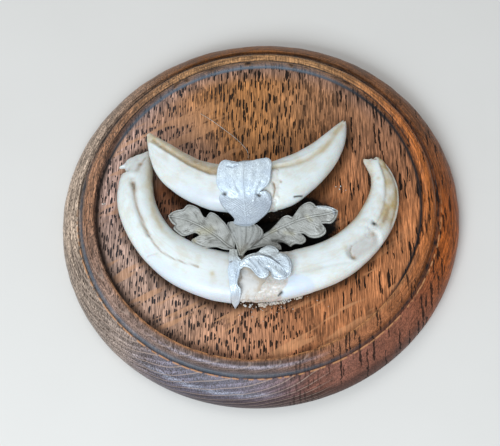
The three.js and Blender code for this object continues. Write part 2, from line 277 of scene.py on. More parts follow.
def noise(points, size, seed, octaves=1):
    """Smooth noise from about -1 to 1, with lumps about size across."""
    rng = np.random.default_rng(seed)
    slopes = rng.normal(size=(256, 3))
    slopes /= np.linalg.norm(slopes, axis=1)[:, None]
    shuffle = np.tile(rng.permutation(256), 3)
    total = np.zeros(points.shape[:-1])
    for octave in range(octaves):
        place = points / size * 2**octave + rng.uniform(0, 90, 3)
        cell = np.floor(place).astype(int)
        inside = place - cell
        ease = inside**3 * (inside * (inside * 6 - 15) + 10)
        for corner in np.ndindex(2, 2, 2):
            x, y, z = np.moveaxis((cell + corner) % 256, -1, 0)
            slope = slopes[shuffle[shuffle[shuffle[x] + y] + z]]
            share = np.prod(np.where(corner, ease, 1 - ease), axis=-1)
            total += share * np.sum(slope * (inside - corner), axis=-1) / 2**octave
    return total * 1.6


def catmull_rom(stations, places):
    """The uniform Catmull-Rom curve through the stations, at places from 0 to 1."""
    points = np.array(stations, float)
    ends = [2 * points[0] - points[1], *points, 2 * points[-1] - points[-2]]
    points = np.array(ends)
    scaled = np.clip(places, 0, 1) * (len(stations) - 1)
    first = np.minimum(scaled.astype(int), len(stations) - 2)
    share = (scaled - first)[..., None]
    p0, p1, p2, p3 = (points[first + k] for k in range(4))
    return 0.5 * (
        2 * p1
        + (p2 - p0) * share
        + (2 * p0 - 5 * p1 + 4 * p2 - p3) * share**2
        + (3 * p1 - p0 - 3 * p2 + p3) * share**3
    )


def path_frame(stations, places):
    """Points of a path, with the forward, side and lift directions there."""
    points = catmull_rom(stations, places)
    step = 1e-4
    forward = catmull_rom(stations, places + step) - catmull_rom(stations, places - step)
    forward /= np.linalg.norm(forward, axis=-1)[..., None]
    lift = np.array([0, 0, 1]) - forward * forward[..., 2:]
    lift /= np.linalg.norm(lift, axis=-1)[..., None]
    side = np.cross(forward, lift)
    return points, forward, side, lift


def plan_distance(points, line):
    """Distance in plan from points to a line of [x, y] points, and the place along it, 0 to 1."""
    line = np.array(line, float)
    nearest = np.full(points.shape[:-1], 1e9)
    place = np.zeros(points.shape[:-1])
    lengths = np.linalg.norm(np.diff(line, axis=0), axis=1)
    before = np.concatenate([[0], np.cumsum(lengths)])
    for k, (start, end) in enumerate(zip(line[:-1], line[1:])):
        along = end - start
        share = np.clip((points[..., :2] - start) @ along / (along @ along), 0, 1)
        away = np.linalg.norm(points[..., :2] - start - share[..., None] * along, axis=-1)
        closer = away < nearest
        nearest = np.where(closer, away, nearest)
        place = np.where(closer, (before[k] + share * lengths[k]) / before[-1], place)
    return nearest, place


def spot(points, x, y, radius):
    """A round hill in plan, 1 at its middle."""
    return bump(np.hypot(points[..., 0] - x, points[..., 1] - y), radius)


def camera_axes():
    """The camera's right, up and backward directions, and its place in millimetres."""
    azimuth, elevation, roll = (
        math.radians(a) for a in (CAMERA_AZIMUTH, CAMERA_ELEVATION, CAMERA_ROLL)
    )
    flat = math.cos(elevation)
    back = np.array([math.sin(azimuth) * flat, -math.cos(azimuth) * flat, math.sin(elevation)])
    level = np.array([math.cos(azimuth), math.sin(azimuth), 0])
    upright = np.cross(back, level)
    right = level * math.cos(roll) + upright * math.sin(roll)
    up = upright * math.cos(roll) - level * math.sin(roll)
    return right, up, back, np.array(CAMERA_TARGET) + back * CAMERA_DISTANCE


def seen_at(pixels, height):
    """The points at the given heights that the camera sees at pixels of its view."""
    right, up, back, place = camera_axes()
    pixel = SENSOR_WIDTH / CAMERA_LENS / VIEW_SIZE[0]
    across = (pixels[..., :1] - VIEW_SIZE[0] / 2) * pixel
    down = (pixels[..., 1:2] - VIEW_SIZE[1] / 2) * pixel
    ray = across * right - down * up - back
    return place + ray * ((height[..., None] - place[2]) / ray[..., 2:])


def bezier(start, pull_a, pull_b, end, steps):
    """Points of a cubic curve after its start."""
    share = np.linspace(0, 1, steps + 1)[1:, None]
    a, b, c, d = (np.array(p, float) for p in (start, pull_a, pull_b, end))
    rest = 1 - share
    return rest**3 * a + 3 * rest**2 * share * b + 3 * rest * share**2 * c + share**3 * d


def straight(start, end, steps):
    """Points of a line after its start."""
    share = np.linspace(0, 1, steps + 1)[1:, None]
    return np.array(start, float) * (1 - share) + np.array(end, float) * share


# ---------------------------------------------------------------- meshes


def grid_normals(grid):
    """Unit normals of a grid of points whose columns close on themselves."""
    down = np.gradient(grid, axis=0)
    across = np.roll(grid, -1, axis=1) - np.roll(grid, 1, axis=1)
    normal = np.cross(across, down)
    normal /= np.linalg.norm(normal, axis=-1)[..., None] + 1e-12
    middle = grid.mean(axis=1)[:, None]
    outward = np.sum(normal * (grid - middle)) > 0
    return normal if outward else -normal


def closed_tube(grid, cap_rings=5):
    """Vertices and faces of a tube of rings, closed by shrinking rings at both ends."""
    shrink = np.linspace(1, 0, cap_rings + 1)[1:-1, None, None]
    first, last = grid[0].mean(axis=0), grid[-1].mean(axis=0)
    start = first + (grid[:1] - first) * shrink[::-1]
    end = last + (grid[-1:] - last) * shrink
    rings = np.concatenate([start, grid, end])
    count, sides = rings.shape[:2]
    vertices = np.concatenate([rings.reshape(-1, 3), [first, last]])
    row = np.arange(count - 1)[:, None] * sides
    column = np.arange(sides)[None]
    beside = (column + 1) % sides
    corners = [row + column, row + beside, row + sides + beside, row + sides + column]
    faces = np.stack(corners, axis=-1).reshape(-1, 4).tolist()
    last_row = (count - 1) * sides
    for k in range(sides):
        following = (k + 1) % sides
        faces.append([count * sides, following, k])
        faces.append([count * sides + 1, last_row + k, last_row + following])
    return vertices, faces, cap_rings - 1


def with_caps(values, cap_rings):
    """Values of a grid's points, spread over the rings that close its ends."""
    start = np.repeat(values[:1], cap_rings, axis=0)
    end = np.repeat(values[-1:], cap_rings, axis=0)
    spread = np.concatenate([start, values, end])
    ends = [values[0].mean(axis=0), values[-1].mean(axis=0)]
    return np.concatenate([spread.reshape(-1, *values.shape[2:]), ends])


def signed_volume(vertices, faces):
    """Volume of a closed mesh, negative if its faces point inwards."""
    total = 0
    for size in (3, 4):
        chosen = np.array([f for f in faces if len(f) == size])
        if len(chosen):
            for k in range(1, size - 1):
                a, b, c = (vertices[chosen[:, i]] for i in (0, k, k + 1))
                total += np.sum(a * np.cross(b, c))
    return total / 6


def make_mesh(name, vertices, faces, masks=None):
    """A smooth-shaded mesh object from millimetres, with a number per vertex for each mask."""
    if signed_volume(vertices, faces) < 0:
        faces = [f[::-1] for f in faces]
    mesh = bpy.data.meshes.new(name)
    mesh.from_pydata((vertices * MM).tolist(), [], faces)
    for mask, values in (masks or {}).items():
        kind = "FLOAT_VECTOR" if values.ndim == 2 else "FLOAT"
        attribute = mesh.attributes.new(mask, kind, "POINT")
        field = "vector" if values.ndim == 2 else "value"
        attribute.data.foreach_set(field, values.astype(np.float32).ravel())
    mesh.shade_smooth()
    piece = bpy.data.objects.new(name, mesh)
    bpy.context.scene.collection.objects.link(piece)
    return piece


def tube_piece(name, grid, masks):
    """A closed piece from rings of points, with its masks."""
    vertices, faces, cap_rings = closed_tube(grid)
    spread = {key: with_caps(values, cap_rings) for key, values in masks.items()}
    return make_mesh(name, vertices, faces, spread)


def place_piece(piece, material, node=None):
    """Gives a piece its material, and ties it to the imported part."""
    piece.data.materials.clear()
    piece.data.materials.append(material)
    if node:
        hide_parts(node)
    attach(piece, "root")


def fine_copy(node, voxel):
    """Vertices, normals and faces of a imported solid, remeshed finely."""
    scratch = bpy.data.objects.new("scratch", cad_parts[node].data.copy())
    bpy.context.scene.collection.objects.link(scratch)
    remesh = scratch.modifiers.new("remesh", "REMESH")
    remesh.mode = "VOXEL"
    remesh.voxel_size = voxel * MM
    bpy.context.view_layer.update()
    fine = scratch.evaluated_get(bpy.context.evaluated_depsgraph_get()).to_mesh()
    vertices = np.array([v.co for v in fine.vertices]) / MM
    normals = np.array([v.normal for v in fine.vertices])
    faces = [list(p.vertices) for p in fine.polygons]
    data = scratch.data
    bpy.data.objects.remove(scratch)
    bpy.data.meshes.remove(data)
    return vertices, normals, faces


# ---------------------------------------------------------------- tusks


class Tusk:
    """The fine surface of a tusk: rings of points that features are cut into."""

    def __init__(self, stations, base_power, start=None, end=None):
        self.stations = stations
        self.base_power = base_power
        self.angle = np.linspace(0, 2 * math.pi, TUSK_SIDES, endpoint=False)[None]
        first = 0 if start is None else start(self)[None]
        last = 1 if end is None else end(self)[None]
        share = np.linspace(0, 1, TUSK_STEPS)[:, None]
        self.t = first + (last - first) * share + 0 * self.angle
        self.grid, self.flow = self.surface(self.t)
        self.x, self.y = self.grid[..., 0], self.grid[..., 1]
        self.normal = grid_normals(self.grid)
        self.top = smoothstep(-0.1, 0.35, self.normal[..., 2])
        self.depth = np.zeros_like(self.t)
        names = ("honey", "stain", "grey", "dark", "chalk", "cool", "plaster")
        self.masks = {name: np.zeros_like(self.t) for name in names}

    def surface(self, t):
        """Points at places t along the tusk and round it, and their place as length and girth."""
        stations = np.array(self.stations, float)
        points, forward, side, lift = path_frame(stations[:, :3], t)
        sizes = catmull_rom(stations[:, 3:], t)
        cosine = np.cos(self.angle) + 0 * t
        sine = np.sin(self.angle) + 0 * t
        power = np.where(sine < 0, self.base_power, TOP_POWER)
        across = sizes[..., 0] / 2 * signed_power(cosine, SIDE_POWER)
        up = sizes[..., 1] / 2 * signed_power(sine, power)
        grid = points + side * across[..., None] + lift * up[..., None]
        legs = np.linalg.norm(np.diff(stations[:, :3], axis=0), axis=1)
        length = t * legs.sum()
        flow = np.stack([length, across, up], axis=-1)
        self.across = cosine
        self.forward = forward
        self.side = side
        return grid, flow

    def mask(self, name, amount):
        self.masks[name] = np.maximum(self.masks[name], np.clip(amount, 0, 1))

    def groove(self, line, width, depth, tint=None, strength=1.0):
        """Cuts a line into the top, width and depth given at its start and its end."""
        away, place = plan_distance(self.grid, line)
        wide = width[0] + (width[1] - width[0]) * place
        deep = depth[0] + (depth[1] - depth[0]) * place
        self.depth -= deep * bump(away, wide) * self.top
        if tint:
            self.mask(tint, strength * bump(away, wide * 0.8) * self.top)

    def dimple(self, x, y, radius, depth, tint=None, strength=1.0):
        hill = spot(self.grid, x, y, radius) * self.top
        self.depth -= depth * hill
        if tint:
            self.mask(tint, strength * hill)

    def roughen(self, amount, size, seed, where=1.0):
        self.depth += amount * noise(self.grid, size, seed, 2) * where

    def finish(self, name):
        grid = self.grid + self.normal * self.depth[..., None]
        masks = {**self.masks, "flow": self.flow}
        return tube_piece(name, grid, masks)


def on_oak(stations):
    """Stations of a tusk that lies on the oak, with the height of its middle line."""
    return [[x, y, LOWER_TUSK_BASE_Z + thick / 2, wide, thick] for x, y, wide, thick in stations]


def left_lower_tusk():
    """Long tusk on the left: a brown valley along its face, and a torn, slanting end."""
    root = [[-9.9, -41.7, 25.0, 13.5], *LOWER_LEFT[1:]]
    tusk = Tusk(on_oak(root), LOWER_BASE_POWER)
    valley = [[-61.6, 12.0], [-60.7, 7.8], [-60.3, 3.7], [-58.6, -4.2], [-54.9, -13.9], [-52.0, -20.0]]
    seam = [[-52.0, -20.0], [-48.6, -25.8], [-45.3, -29.7], [-39.9, -33.4], [-33.5, -36.2], [-27.2, -38.5]]
    inner_edge = [[-53.0, 22.0], [-52.8, 10.5], [-52.4, 2.0], [-49.8, -9.3], [-45.0, -17.9], [-38.0, -25.2]]
    tusk.groove(valley, (1.3, 0.9), (0.3, 0.6), "stain", 0.25)
    tusk.groove(valley[2:], (0.7, 0.6), (0.1, 0.3), "stain", 0.85)
    tusk.groove(valley, (2.8, 1.6), (0.35, 0.2), "grey", 0.4)
    tusk.groove(seam, (0.6, 0.35), (0.4, 0.1), "stain", 0.7)
    tusk.groove([[-52.7, -31.0], [-46.9, -30.4]], (0.4, 0.25), (0.2, 0.1), "grey", 0.8)
    tusk.groove([[-61.3, 9.6], [-60.9, 7.6], [-60.3, 4.6]], (1.4, 1.0), (0.5, 0.3), "stain", 0.9)
    tusk.groove([[-61.2, 9.0], [-60.5, 6.4]], (0.8, 0.6), (0.2, 0.1), "dark", 0.6)
    tusk.dimple(-60.7, 6.2, 0.8, 0.3, "stain", 0.8)
    tusk.dimple(-20.6, -42.0, 1.3, 0.05, "honey", 0.7)
    away, _ = plan_distance(tusk.grid, inner_edge)
    wide = 1.4 + 1.2 * smoothstep(0.6, 0.8, tusk.t)
    tusk.mask("honey", 0.6 * bump(away, wide) * smoothstep(0.25, 0.6, tusk.t))
    beyond = smoothstep(14, 18, tusk.y)
    right_of_seam = smoothstep(-62.5, -59.0, tusk.x) * smoothstep(0, 12, tusk.y)
    tusk.mask("grey", np.maximum(0.3 * right_of_seam, 0.5 * beyond) * tusk.top)
    tusk.groove([[-59.8, 17.2], [-58.2, 20.8], [-56.4, 23.0]], (1.3, 0.9), (0.3, 0.2), "stain", 0.5)
    tusk.dimple(-58.4, 20.5, 1.3, 0.3, "stain", 0.9)
    tusk.groove([[-53.6, 25.5], [-52.8, 18.0], [-53.2, 12.0]], (1.3, 0.8), (0.3, 0.15), "honey", 0.5)
    tusk.mask("grey", 0.4 * smoothstep(0.24, 0.04, tusk.t) * tusk.top)
    # painted bluish tint of the window's light, a little greyed, on the lower outer flank near the root
    low_flank = smoothstep(-0.3, -0.75, tusk.across) * smoothstep(0.5, 0.35, tusk.t)
    tusk.mask("cool", 0.9 * low_flank)
    tusk.mask("grey", 0.15 * low_flank)
    # the enamel ends at a shoulder on the outer side, and the dentine beyond it is thinner
    outer = smoothstep(-0.3, -0.8, tusk.across)
    pinch = smoothstep(16.2, 17.8, tusk.y) * smoothstep(23.0, 18.5, tusk.y)
    tusk.depth -= 0.9 * outer * pinch
    # the end is torn along a slant, with a thin jag on the outer side
    near_end = smoothstep(0.84, 1.0, tusk.t)
    inward = (tusk.across + 1) / 2
    slant = -7.6 * (1 - inward) + 4.2
    torn = 0.35 * noise(tusk.grid, 1.6, 11, 2) * smoothstep(0.975, 1.0, tusk.t)
    tusk.grid += tusk.forward * (near_end * slant + torn)[..., None]
    thinned = 1.7 * smoothstep(0.92, 1.0, tusk.t) * smoothstep(0.2, -0.9, tusk.across)
    tusk.grid -= tusk.side * thinned[..., None]
    jag = bump(tusk.t - 0.985, 0.010) * smoothstep(-0.9, -1.0, tusk.across)
    tusk.grid -= tusk.side * (2.8 * jag)[..., None]
    tusk.grid -= tusk.forward * (1.2 * jag)[..., None]
    tusk.roughen(0.08, 7, 12)
    tusk.roughen(0.12, 2.2, 13, smoothstep(0.88, 0.96, tusk.t))
    return tusk.finish("left_lower_tusk")


def break_start(tusk):
    """Where the slanting break cuts each line along the right lower tusk."""
    places = np.linspace(0, 0.4, 400)[:, None] + 0 * tusk.angle
    grid, _ = tusk.surface(places)
    turn = math.radians(ROOT_BREAK["turn"])
    beyond = (grid[..., 0] - ROOT_BREAK["x"]) * math.cos(turn)
    beyond += (grid[..., 1] - ROOT_BREAK["y"]) * math.sin(turn)
    ragged = 0.9 * noise(grid, 3.0, 21, 2) + 0.3
    first = np.argmax(beyond > ragged.clip(0), axis=0)
    return places[first, 0]


def right_lower_tusk():
    """Long tusk on the right: broken root, smooth scoop, pit, and a notched tip."""
    tusk = Tusk(on_oak(LOWER_RIGHT), LOWER_BASE_POWER, break_start)
    step = [[60.4, 18.6], [61.2, 15.4], [62.6, 8.3], [62.5, 1.6], [61.6, -6.3], [60.0, -11.4], [57.5, -15.8]]
    ridge = [[19.4, -42.7], [27.0, -40.9], [36.7, -38.6], [45.4, -36.9]]
    inner_edge = [[56.5, 20.5], [56.6, 8.0], [54.0, -3.0], [48.0, -13.0], [38.0, -21.5], [24.0, -27.0]]
    xs, ys = np.array(step[::-1]).T
    beyond_step = tusk.x - np.interp(tusk.y, ys, xs)
    outer = smoothstep(-0.5, 0.9, beyond_step) * smoothstep(-20, -13, tusk.y)
    tusk.depth -= 1.0 * outer * tusk.top * smoothstep(21, 17, tusk.y)
    tusk.mask("grey", 0.4 * bump(beyond_step - 0.5, 0.9) * outer * tusk.top)
    tusk.groove(ridge, (1.1, 0.8), (0.25, 0.15), "grey", 0.35)
    mottled = 0.75 + 0.5 * noise(tusk.grid, 4.5, 22, 2)
    tusk.mask("honey", outer * mottled * tusk.top)
    tusk.mask("stain", 0.1 * outer * mottled * tusk.top)
    away, _ = plan_distance(tusk.grid, inner_edge)
    tusk.mask("honey", 0.55 * bump(away, 1.3))
    stained, _ = plan_distance(tusk.grid, [[64.0, -6.0], [63.2, -11.0], [61.2, -15.5]])
    stained += 0.9 * noise(tusk.grid, 2.4, 29, 2)
    tusk.mask("honey", bump(stained, 3.4) * mottled)
    tusk.mask("stain", 0.65 * bump(stained, 1.3) * smoothstep(-6.0, -9.0, tusk.y))
    tusk.dimple(56.8, -16.4, 1.1, 1.8, "dark", 1.0)
    # rough patch and the smooth scoop below it
    patch = spot(tusk.grid, 55.4, -20.6, 4.2) * tusk.top
    tusk.roughen(0.9, 3.2, 23, patch)
    tusk.mask("grey", 0.55 * patch)
    tusk.mask("stain", 0.6 * spot(tusk.grid, 55.6, -22.2, 1.9) * tusk.top)
    away, _ = plan_distance(tusk.grid, [[47.0, -31.4], [55.5, -24.6]])
    scoop = smoothstep(5.2, 2.6, away) * tusk.top
    tusk.depth -= 1.1 * scoop
    tusk.mask("grey", 0.75 * scoop)
    rim = [[48.4, -26.2], [45.6, -28.4], [44.8, -31.4], [46.0, -34.6]]
    tusk.groove(rim, (0.5, 0.5), (0.4, 0.3), "grey", 1.0)
    tusk.groove(rim[1:], (0.45, 0.45), (0.1, 0.1), "stain", 0.6)
    tusk.dimple(46.6, -34.5, 1.0, 0.3, "stain", 0.9)
    tusk.dimple(42.3, -29.4, 1.5, 0.0, "honey", 0.6)
    tusk.dimple(59.8, 9.0, 1.2, 0.0, "honey", 0.7)
    # the tip ends in two lobes with a notch between them
    at_end = smoothstep(0.93, 1.0, tusk.t)
    notch = -4.2 * bump(tusk.across - 0.22, 0.16) + 2.2 * smoothstep(-0.2, -0.9, tusk.across)
    tusk.grid += tusk.forward * (at_end * notch)[..., None]
    thinned = 1.6 * smoothstep(0.84, 1.0, tusk.t) * smoothstep(0.3, -0.7, tusk.across)
    tusk.grid -= tusk.side * thinned[..., None]
    tusk.mask("honey", 0.45 * at_end)
    near_break = (tusk.t - tusk.t[:1]) * BREAK_SCALE + 1.4 * noise(tusk.grid, 3.0, 25, 2)
    tusk.mask("chalk", smoothstep(3.6, 0.6, near_break))
    tusk.groove([[10.3, -52.5], [12.2, -51.3]], (0.3, 0.8), (0.05, 0.15), "dark", 1.0)
    # painted bluish light where the tusk's top faces the window near its root
    patch_x, patch_y = (tusk.x - 18.5) / 9.0, (tusk.y + 49.0) / 5.5
    tusk.mask("cool", smoothstep(1.12, 0.95, np.hypot(patch_x, patch_y)) * tusk.top)
    # the plaster is smeared over the break as far as a slanting edge
    smear_edge = 11.7 + 0.6 * (tusk.y + 52.0) + 0.9 * noise(tusk.grid, 3.0, 30, 2)
    smear = smoothstep(0.5, -0.3, tusk.x - smear_edge) * smoothstep(-40.0, -44.0, tusk.y)
    tusk.mask("plaster", smear)
    tusk.roughen(0.35, 2.6, 36, smear)
    tusk.roughen(0.10, 7, 24)
    return tusk.finish("right_lower_tusk")


def root_plaster():
    """Plaster in the shape of the broken root, between the stem and the right lower tusk."""
    start = [[-9.7, -42.4, 22.6, 13.3], *LOWER_RIGHT[1:]]
    core = Tusk(on_oak(start), LOWER_BASE_POWER, end=break_start)
    core.depth -= 0.25
    to_break = (core.t[-1:] - core.t) * BREAK_SCALE
    core.mask("stain", 0.3 * smoothstep(1.1, 0.3, to_break))
    core.roughen(0.4, 5, 26)
    core.roughen(0.12, 1.6, 27)
    core.roughen(0.9, 2.2, 28, smoothstep(-51.5, -54.5, core.y))
    core.groove([[4.5, -52.4], [8.0, -50.6], [11.6, -49.0]], (0.35, 0.5), (0.2, 0.4), "stain", 0.9)
    core.groove([[-7.6, -36.0], [-7.4, -41.0], [-6.6, -44.6]], (0.7, 0.4), (0.8, 0.4), "stain", 0.9)
    long_crack = [[-6.0, -35.0], [-2.6, -38.6], [0.6, -42.0], [4.0, -44.0]]
    core.groove(long_crack, (1.2, 0.8), (0.3, 0.3), "stain", 0.5)
    return core.finish("root_plaster")


def left_upper_tusk():
    """Short tusk on the left, with an olive brown worn band along its hollow side."""
    tusk = Tusk(UPPER_LEFT, UPPER_BASE_POWER)
    crest = [
        [-52.7, 28.3], [-45.5, 22.6], [-39.4, 18.4], [-33.4, 13.9], [-27.9, 10.9], [-22.6, 8.1],
        [-10, 6.6],
    ]
    beside_crest = [
        [-51.0, 29.9], [-44.4, 24.0], [-38.3, 19.9], [-32.3, 15.4], [-26.8, 12.3], [-21.6, 9.6],
        [-10, 8.1],
    ]
    xs, ys = np.array(crest).T
    beyond_crest = tusk.y - np.interp(tusk.x, xs, ys)
    band = smoothstep(0.0, 1.4, beyond_crest)
    uneven = 0.85 + 0.4 * noise(tusk.grid, 6, 31, 2)
    near_crest = smoothstep(8.5, 3.5, beyond_crest)
    near_cap = smoothstep(-44.0, -31.0, tusk.x)
    tusk.mask("grey", 0.25 * tusk.top)
    # painted bluish shade on the lower flank beside the cap
    low_flank = smoothstep(-0.25, -0.7, tusk.across) * smoothstep(0.55, 0.3, tusk.t)
    tusk.mask("cool", 0.9 * low_flank)
    tusk.mask("grey", 0.45 * low_flank)
    near_tip = smoothstep(-45.0, -50.0, tusk.x)
    tusk.mask("honey", band * uneven * (0.35 + 0.65 * near_crest) * (1 - 0.1 * near_tip))
    tusk.mask("grey", 0.1 * band * near_crest * near_cap)
    tusk.mask("honey", 0.5 * band * near_crest * near_cap)
    streaked = 0.75 + 0.5 * noise(tusk.grid * [0.35, 1, 1], 1.6, 33, 2)
    tusk.mask("stain", 0.75 * band * near_crest * near_cap * streaked)
    # the grey in the groove beside the crest is a painted fine shadow
    tusk.groove(beside_crest, (1.2, 1.6), (0.35, 0.6), "grey", 0.35)
    tusk.groove(beside_crest, (1.0, 1.7), (0.05, 0.1), "stain", 0.5)
    away, _ = plan_distance(tusk.grid, crest)
    tusk.depth += 0.32 * bump(away, 0.65) * tusk.top
    for x, y, size in ((-49.2, 28.2, 0.8), (-46.9, 26.0, 1.1), (-44.6, 24.4, 0.9)):
        tusk.dimple(x, y, size, 0.2, "stain", 0.7)
    tusk.mask("honey", 0.4 * smoothstep(0.88, 1.0, tusk.t))
    tusk.roughen(0.12, 7, 32)
    return tusk.finish("left_upper_tusk")


def right_upper_tusk():
    """Short tusk on the right: a bright crest, a yellow band beside it and a split tip."""
    tusk = Tusk(UPPER_RIGHT, UPPER_BASE_POWER)
    crest = [[43.0, 40.6], [40.3, 37.3], [36.4, 29.6], [32.6, 23.3], [24.2, 18.4], [16.9, 14.9], [8, 13.4]]
    band = [[43.2, 39.6], [41.5, 37.1], [37.9, 29.2], [32.7, 21.9], [25.3, 16.3], [16.9, 12.9], [8, 11.4]]
    away, _ = plan_distance(tusk.grid, band)
    tusk.depth -= 0.4 * bump(away, 1.1) * tusk.top
    tusk.mask("honey", 0.7 * bump(away, 1.7) * tusk.top)
    tusk.mask("stain", 0.12 * bump(away, 0.8) * tusk.top)
    away, _ = plan_distance(tusk.grid, crest)
    tusk.depth += 0.25 * bump(away, 0.9) * tusk.top
    tusk.groove([[18.7, -3.2], [22.8, -1.7]], (0.4, 0.3), (0.3, 0.1), "dark", 1.0)
    tusk.groove([[22.8, -1.7], [25.8, -0.2]], (0.5, 0.4), (0.2, 0.1), "stain", 0.6)
    tusk.mask("honey", 0.5 * smoothstep(0.9, 1.0, tusk.t))
    at_end = smoothstep(0.94, 1.0, tusk.t)
    tusk.grid -= tusk.forward * (1.2 * at_end * bump(tusk.across + 0.1, 0.3))[..., None]
    # plaster is smeared over its root, in broken lumps
    root, _ = plan_distance(tusk.grid, [[9.0, 8.0], [9.6, 0.0], [8.0, -9.0]])
    smear = smoothstep(2.6, 1.2, root + 1.5 * noise(tusk.grid, 2.5, 42, 2))
    tusk.mask("chalk", np.maximum(smear, tusk.x < 8.5))
    tusk.roughen(0.8, 3.6, 43, smear)
    tusk.mask("stain", 0.2 * smoothstep(0.15, 0.5, noise(tusk.grid, 3.0, 44)) * smear)
    tusk.groove([[9.0, 3.0], [9.6, 0.0], [8.8, -4.0]], (0.6, 0.4), (0.7, 0.4), "stain", 0.9)
    tusk.dimple(12.4, 3.4, 0.7, 0.3, "stain", 0.8)
    tusk.roughen(0.12, 7, 41)
    return tusk.finish("right_upper_tusk")


# ---------------------------------------------------------------- plaque


def plaque_profile():
    """The turned outline, from the middle of the back round to the middle of the floor."""
    rim_foot = (PLAQUE_RADIUS, BACK_EDGE_Z)
    arris_foot = (COVE_RADIUS, FLOOR_Z)
    parts = [
        [(0.0, 0.0)],
        straight((0, 0), (BACK_RADIUS, 0), 6),
        bezier((BACK_RADIUS, 0), (PLAQUE_RADIUS - 0.4, 0), (PLAQUE_RADIUS, 1.2), rim_foot, 8),
        bezier(rim_foot, *RIM_PULLS, RIM_ARRIS, 34),
        straight(RIM_ARRIS, (QUIRK_OUTER_RADIUS, QUIRK_Z), 4),
        straight((QUIRK_OUTER_RADIUS, QUIRK_Z), (QUIRK_INNER_RADIUS, QUIRK_Z), 3),
        bezier((QUIRK_INNER_RADIUS, QUIRK_Z), *BEAD_PULLS, BEAD_ARRIS, 28),
        bezier(BEAD_ARRIS, arris_foot, arris_foot, (FLOOR_RADIUS, FLOOR_Z), 14),
        straight((FLOOR_RADIUS, FLOOR_Z), (0, FLOOR_Z), 92),
    ]
    return np.concatenate([np.array(p, float) for p in parts])


def beside_tusks(points):
    """1 close to the outline of a tusk in plan, falling to 0 a few millimetres away; it places the painted
    shadow round the tusks.
    """
    near = np.zeros(points.shape[:-1])
    reaches = ((LOWER_LEFT, 5.0), (LOWER_RIGHT, 4.0), (UPPER_LEFT, 7.0), (UPPER_RIGHT, 6.0))
    for stations, reach in reaches:
        stations = np.array(stations, float)
        away, place = plan_distance(points, stations[:, :2])
        half_width = np.interp(place, np.linspace(0, 1, len(stations)), stations[:, -2]) / 2
        near = np.maximum(near, smoothstep(reach, -1.0, away - half_width))
    return near


def oak_plaque():
    """Round turned board, its mouldings a little worn and out of true."""
    profile = plaque_profile()[1:-1]
    turn = np.linspace(0, 2 * math.pi, PLAQUE_TURNS, endpoint=False)
    radius, height = profile[:, :1], profile[:, 1:]
    grid = np.stack(
        [radius * np.cos(turn), radius * np.sin(turn), height + 0 * turn], axis=-1
    )
    normal = grid_normals(grid)
    moulded = smoothstep(FLOOR_RADIUS - 2, COVE_RADIUS, radius) * smoothstep(0.5, 4, height)
    worn = noise(grid, 9, 51, 2) * 0.16 + noise(grid * [1, 0.35, 1], 2.2, 52) * 0.05
    arris = bump(radius - RIM_ARRIS[0], 0.7) + bump(radius - BEAD_ARRIS[0], 0.7)
    chipped = np.clip(noise(grid, 5, 53, 2) - 0.25, 0, 1) * 0.9
    inward = moulded * (worn - 0.12) - arris * moulded * chipped
    floor = smoothstep(COVE_RADIUS, FLOOR_RADIUS, radius) * smoothstep(10, 12, height)
    inward += floor * 0.06 * noise(grid * [1, 0.2, 1], 3.0, 54)
    grid = grid + normal * np.minimum(inward, 0.06)[..., None]
    vertices, faces, _ = closed_tube(grid, 1)
    # how near the tusks each point is, for the painted shadow round them
    beside = with_caps(beside_tusks(grid), 0)
    return make_mesh("oak_plaque", vertices, faces, {"beside": beside})


# ---------------------------------------------------------------- sprig


def lobe_tips(table, midrib_start, midrib_end):
    """Places of an edge's points that stand further from the midrib than the ones beside them."""
    points = np.array(table, float)
    along = np.array(midrib_end[:2]) - np.array(midrib_start[:2])
    across = np.array([-along[1], along[0]]) / np.linalg.norm(along)
    away = np.abs((points[:, 1:] - np.array(midrib_start[:2])) @ across)
    inside = range(1, len(points) - 1)
    tips = [points[k, 0] for k in inside if away[k] >= away[k - 1] and away[k] > away[k + 1]]
    return [tip for tip in tips if tip < LAST_LOBE]


